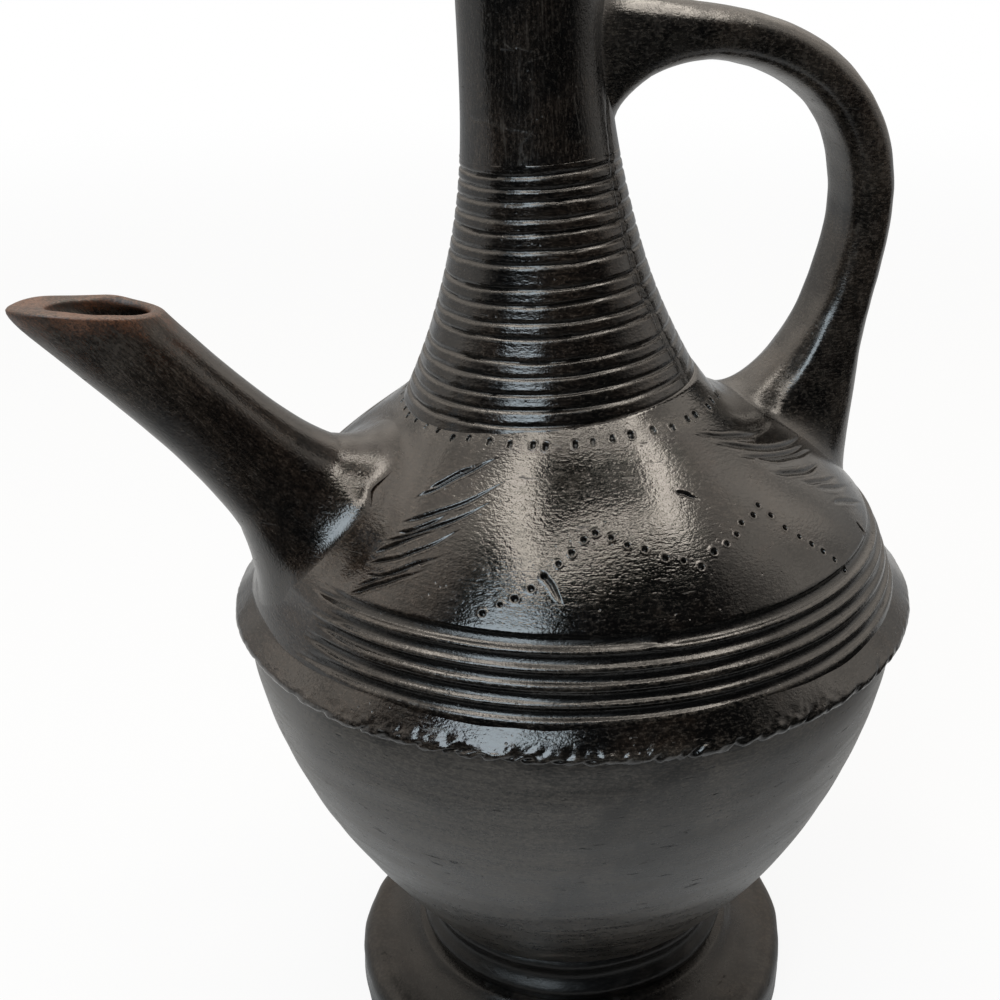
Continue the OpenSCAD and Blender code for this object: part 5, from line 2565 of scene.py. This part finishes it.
@dataclass
class Studio:
    """White floor, soft light and the camera."""

    floor: Material
    floor_r: float = 6.0
    lamp_h: float = 1.2
    lamp_x: float = 0.08
    lamp_y: float = 0.02
    outer: tuple[float, float] = (0.52, 0.42)
    inner: tuple[float, float] = (0.357, 0.312)
    lamp_light: float = 7.8
    window_light: float = 6.0
    window_size: tuple[float, float] = (0.75, 1.2)
    window_way: float = math.radians(-48.0)
    window_tilt: float = math.radians(50.0)
    window_away: float = 1.45
    window_h: float = 1.4
    warm: tuple[float, float, float] = (1.0, 0.91, 0.8)
    cool: tuple[float, float, float] = (0.8, 0.92, 1.0)
    seen_white: Colour = (1.0, 1.0, 1.0, 1.0)
    pale: Colour = (0.5, 0.48, 0.46, 1.0)
    pale_front: Colour = (0.04, 0.04, 0.042, 1.0)
    shine_low: Colour = (0.78, 0.74, 0.69, 1.0)
    shine_high: Colour = (1.8, 1.63, 1.44, 1.0)
    shine_dim: Colour = (0.2, 0.19, 0.18, 1.0)
    shine_front: Colour = (0.012, 0.012, 0.014, 1.0)
    front: tuple[float, float] = (-0.25, 0.968)
    lens: float = 48.28
    lens_shift: tuple[float, float] = (-0.0725, -0.0189)
    eye: tuple[float, float, float] = (-0.1108, -0.3044, 0.2924)
    eye_turn: tuple[float, float, float] = (math.radians(67.2), 0.0, math.radians(-20.0))

    def lay_floor(self) -> None:
        """Lays the round floor."""
        mesh = bmesh.new()
        bmesh.ops.create_circle(mesh, cap_ends=True, segments=96, radius=self.floor_r)
        data = bpy.data.meshes.new("floor")
        mesh.to_mesh(data)
        mesh.free()
        data.materials.append(self.floor)
        floor = bpy.data.objects.new("floor", data)
        bpy.context.scene.collection.objects.link(floor)

    def lamp(
        self,
        name: str,
        size: tuple[float, float],
        light: float,
        colour: tuple[float, float, float],
        place: Sequence[float],
        turn: Sequence[float] = (0.0, 0.0, 0.0),
    ) -> None:
        """Hangs one area lamp.

        Args:
            name: Its name.
            size: Width and length in metres.
            light: Its brightness as seen.
            colour: Its colour.
            place: Where it hangs.
            turn: How it is turned; unturned it shines down.
        """
        data = bpy.data.lights.new(name, "AREA")
        data.shape = "RECTANGLE"
        data.size, data.size_y = size
        data.energy = light * math.pi * size[0] * size[1]
        data.color = colour
        lamp = bpy.data.objects.new(name, data)
        lamp.location = place
        lamp.rotation_euler = turn
        bpy.context.scene.collection.objects.link(lamp)

    def hang_lamps(self) -> None:
        """Hangs a frame of strips above the pot and a tall cool window in front of it to the left."""
        (outer_x, outer_y), (inner_x, inner_y) = self.outer, self.inner
        for name, side in (("left", -1.0), ("right", 1.0)):
            size = (outer_x - inner_x, 2.0 * outer_y)
            place = (self.lamp_x + side * (0.5 * (outer_x + inner_x)), self.lamp_y, self.lamp_h)
            self.lamp(f"strip_{name}", size, self.lamp_light, self.warm, place)
        for name, side in (("front", -1.0), ("back", 1.0)):
            size = (2.0 * inner_x, outer_y - inner_y)
            place = (self.lamp_x, self.lamp_y + side * (0.5 * (outer_y + inner_y)), self.lamp_h)
            self.lamp(f"strip_{name}", size, self.lamp_light, self.warm, place)
        away = self.window_away
        place = (away * math.sin(self.window_way), -away * math.cos(self.window_way), self.window_h)
        turn = (self.window_tilt, 0.0, self.window_way)
        self.lamp("window", self.window_size, self.window_light, self.cool, place, turn)

    def light_world(self) -> None:
        """Lights the surround: white as seen, pale at the sides and back, dark towards the viewer."""
        world = bpy.data.worlds.new("surround")
        world.use_nodes = True
        bpy.context.scene.world = world
        bench = Bench(world.node_tree)
        seen, glossy = bench.rays()
        way = bench.node("ShaderNodeTexCoord").outputs["Generated"]
        x, y, z = bench.axes(way)
        across = (x * x + y * y + 1e-4) ** 0.5
        facing = (x * self.front[0] - y * self.front[1]) / across
        open_front = facing.rise(-0.1, 0.5)
        pale = bench.blend(open_front, self.pale, self.pale_front)
        sides = bench.blend(z.rise(0.1, 0.55), self.shine_low, self.shine_high)
        uneven = bench.noise(way, 7.0, 5.0, 0.7).rise(0.35, 0.65)
        sides = bench.blend(uneven, sides, bench.blend(0.75, sides, self.shine_dim))
        shine = bench.blend(open_front, sides, self.shine_front)
        colour = bench.blend(glossy, pale, shine)
        colour = bench.blend(seen, colour, self.seen_white)
        background = bench.node("ShaderNodeBackground", {}, {"Color": colour, "Strength": 1.0})
        bench.node("ShaderNodeOutputWorld", {}, {"Surface": background.outputs[0]})

    def set_camera(self) -> None:
        """Sets the camera where the photograph was taken from."""
        data = bpy.data.cameras.new("camera")
        data.lens = self.lens
        data.shift_x, data.shift_y = self.lens_shift
        camera = bpy.data.objects.new("camera", data)
        camera.location = self.eye
        camera.rotation_euler = self.eye_turn
        bpy.context.scene.collection.objects.link(camera)
        bpy.context.scene.camera = camera

    def build(self) -> None:
        """Sets up floor, light and camera."""
        self.lay_floor()
        self.hang_lamps()
        self.light_world()
        self.set_camera()
        bpy.context.scene.view_settings.view_transform = "Standard"


def main() -> None:
    """Builds the pot piece by piece, then the studio."""
    logging.basicConfig(level=logging.INFO, format="%(message)s")
    form = Form.from_frame()
    round_rubbed = ClayFinish("clay_rubbed_round").material()
    neck_clay = ClayFinish("clay_neck", gloss=0.14, matt=0.27, nick_depth=0.06).material()
    upright = (2000.0, 2000.0, 800.0)
    tube_clay = ClayFinish(
        "clay_rubbed_up",
        gloss=0.18,
        matt=0.34,
        strokes=(1500.0, 1500.0, 90.0),
        nicks=upright,
    )
    spout_clay = ClayFinish(
        "clay_spout",
        brown_from=0.5,
        gloss=0.13,
        matt=0.27,
        dust=0.25,
        strokes=(1500.0, 1500.0, 110.0),
        nicks=upright,
        turn=(0.0, math.radians(40.0), 0.0),
    )
    handle_clay = ClayFinish("clay_handle", gloss=0.16, matt=0.3, strokes=(500.0, 900.0, 260.0))
    bowl_clay = ClayFinish(
        "clay_bowl",
        brown=(0.05, 0.043, 0.036, 1.0),
        brown_from=0.33,
        gloss=0.28,
        matt=0.4,
        strokes=(70.0, 70.0, 900.0),
        nick_depth=0.025,
        cracks=0.34,
    )
    foot_clay = ClayFinish(
        "clay_foot",
        brown_from=0.47,
        gloss=0.26,
        matt=0.4,
        dust=0.22,
        strokes=(90.0, 90.0, 700.0),
        bend=1.42,
    )
    straw = StrawFinish("straw_wound").material()
    Foot(form, foot_clay.material()).build()
    Body(form, round_rubbed, bowl_clay.material()).build()
    Neck(form, neck_clay, tube_clay.material()).build()
    Spout(form, spout_clay.material()).build()
    Handle(form, handle_clay.material()).build()
    Stopper(form, straw).build()
    Studio(FloorFinish("floor_white").material()).build()


if __name__ == "__main__":
    main()
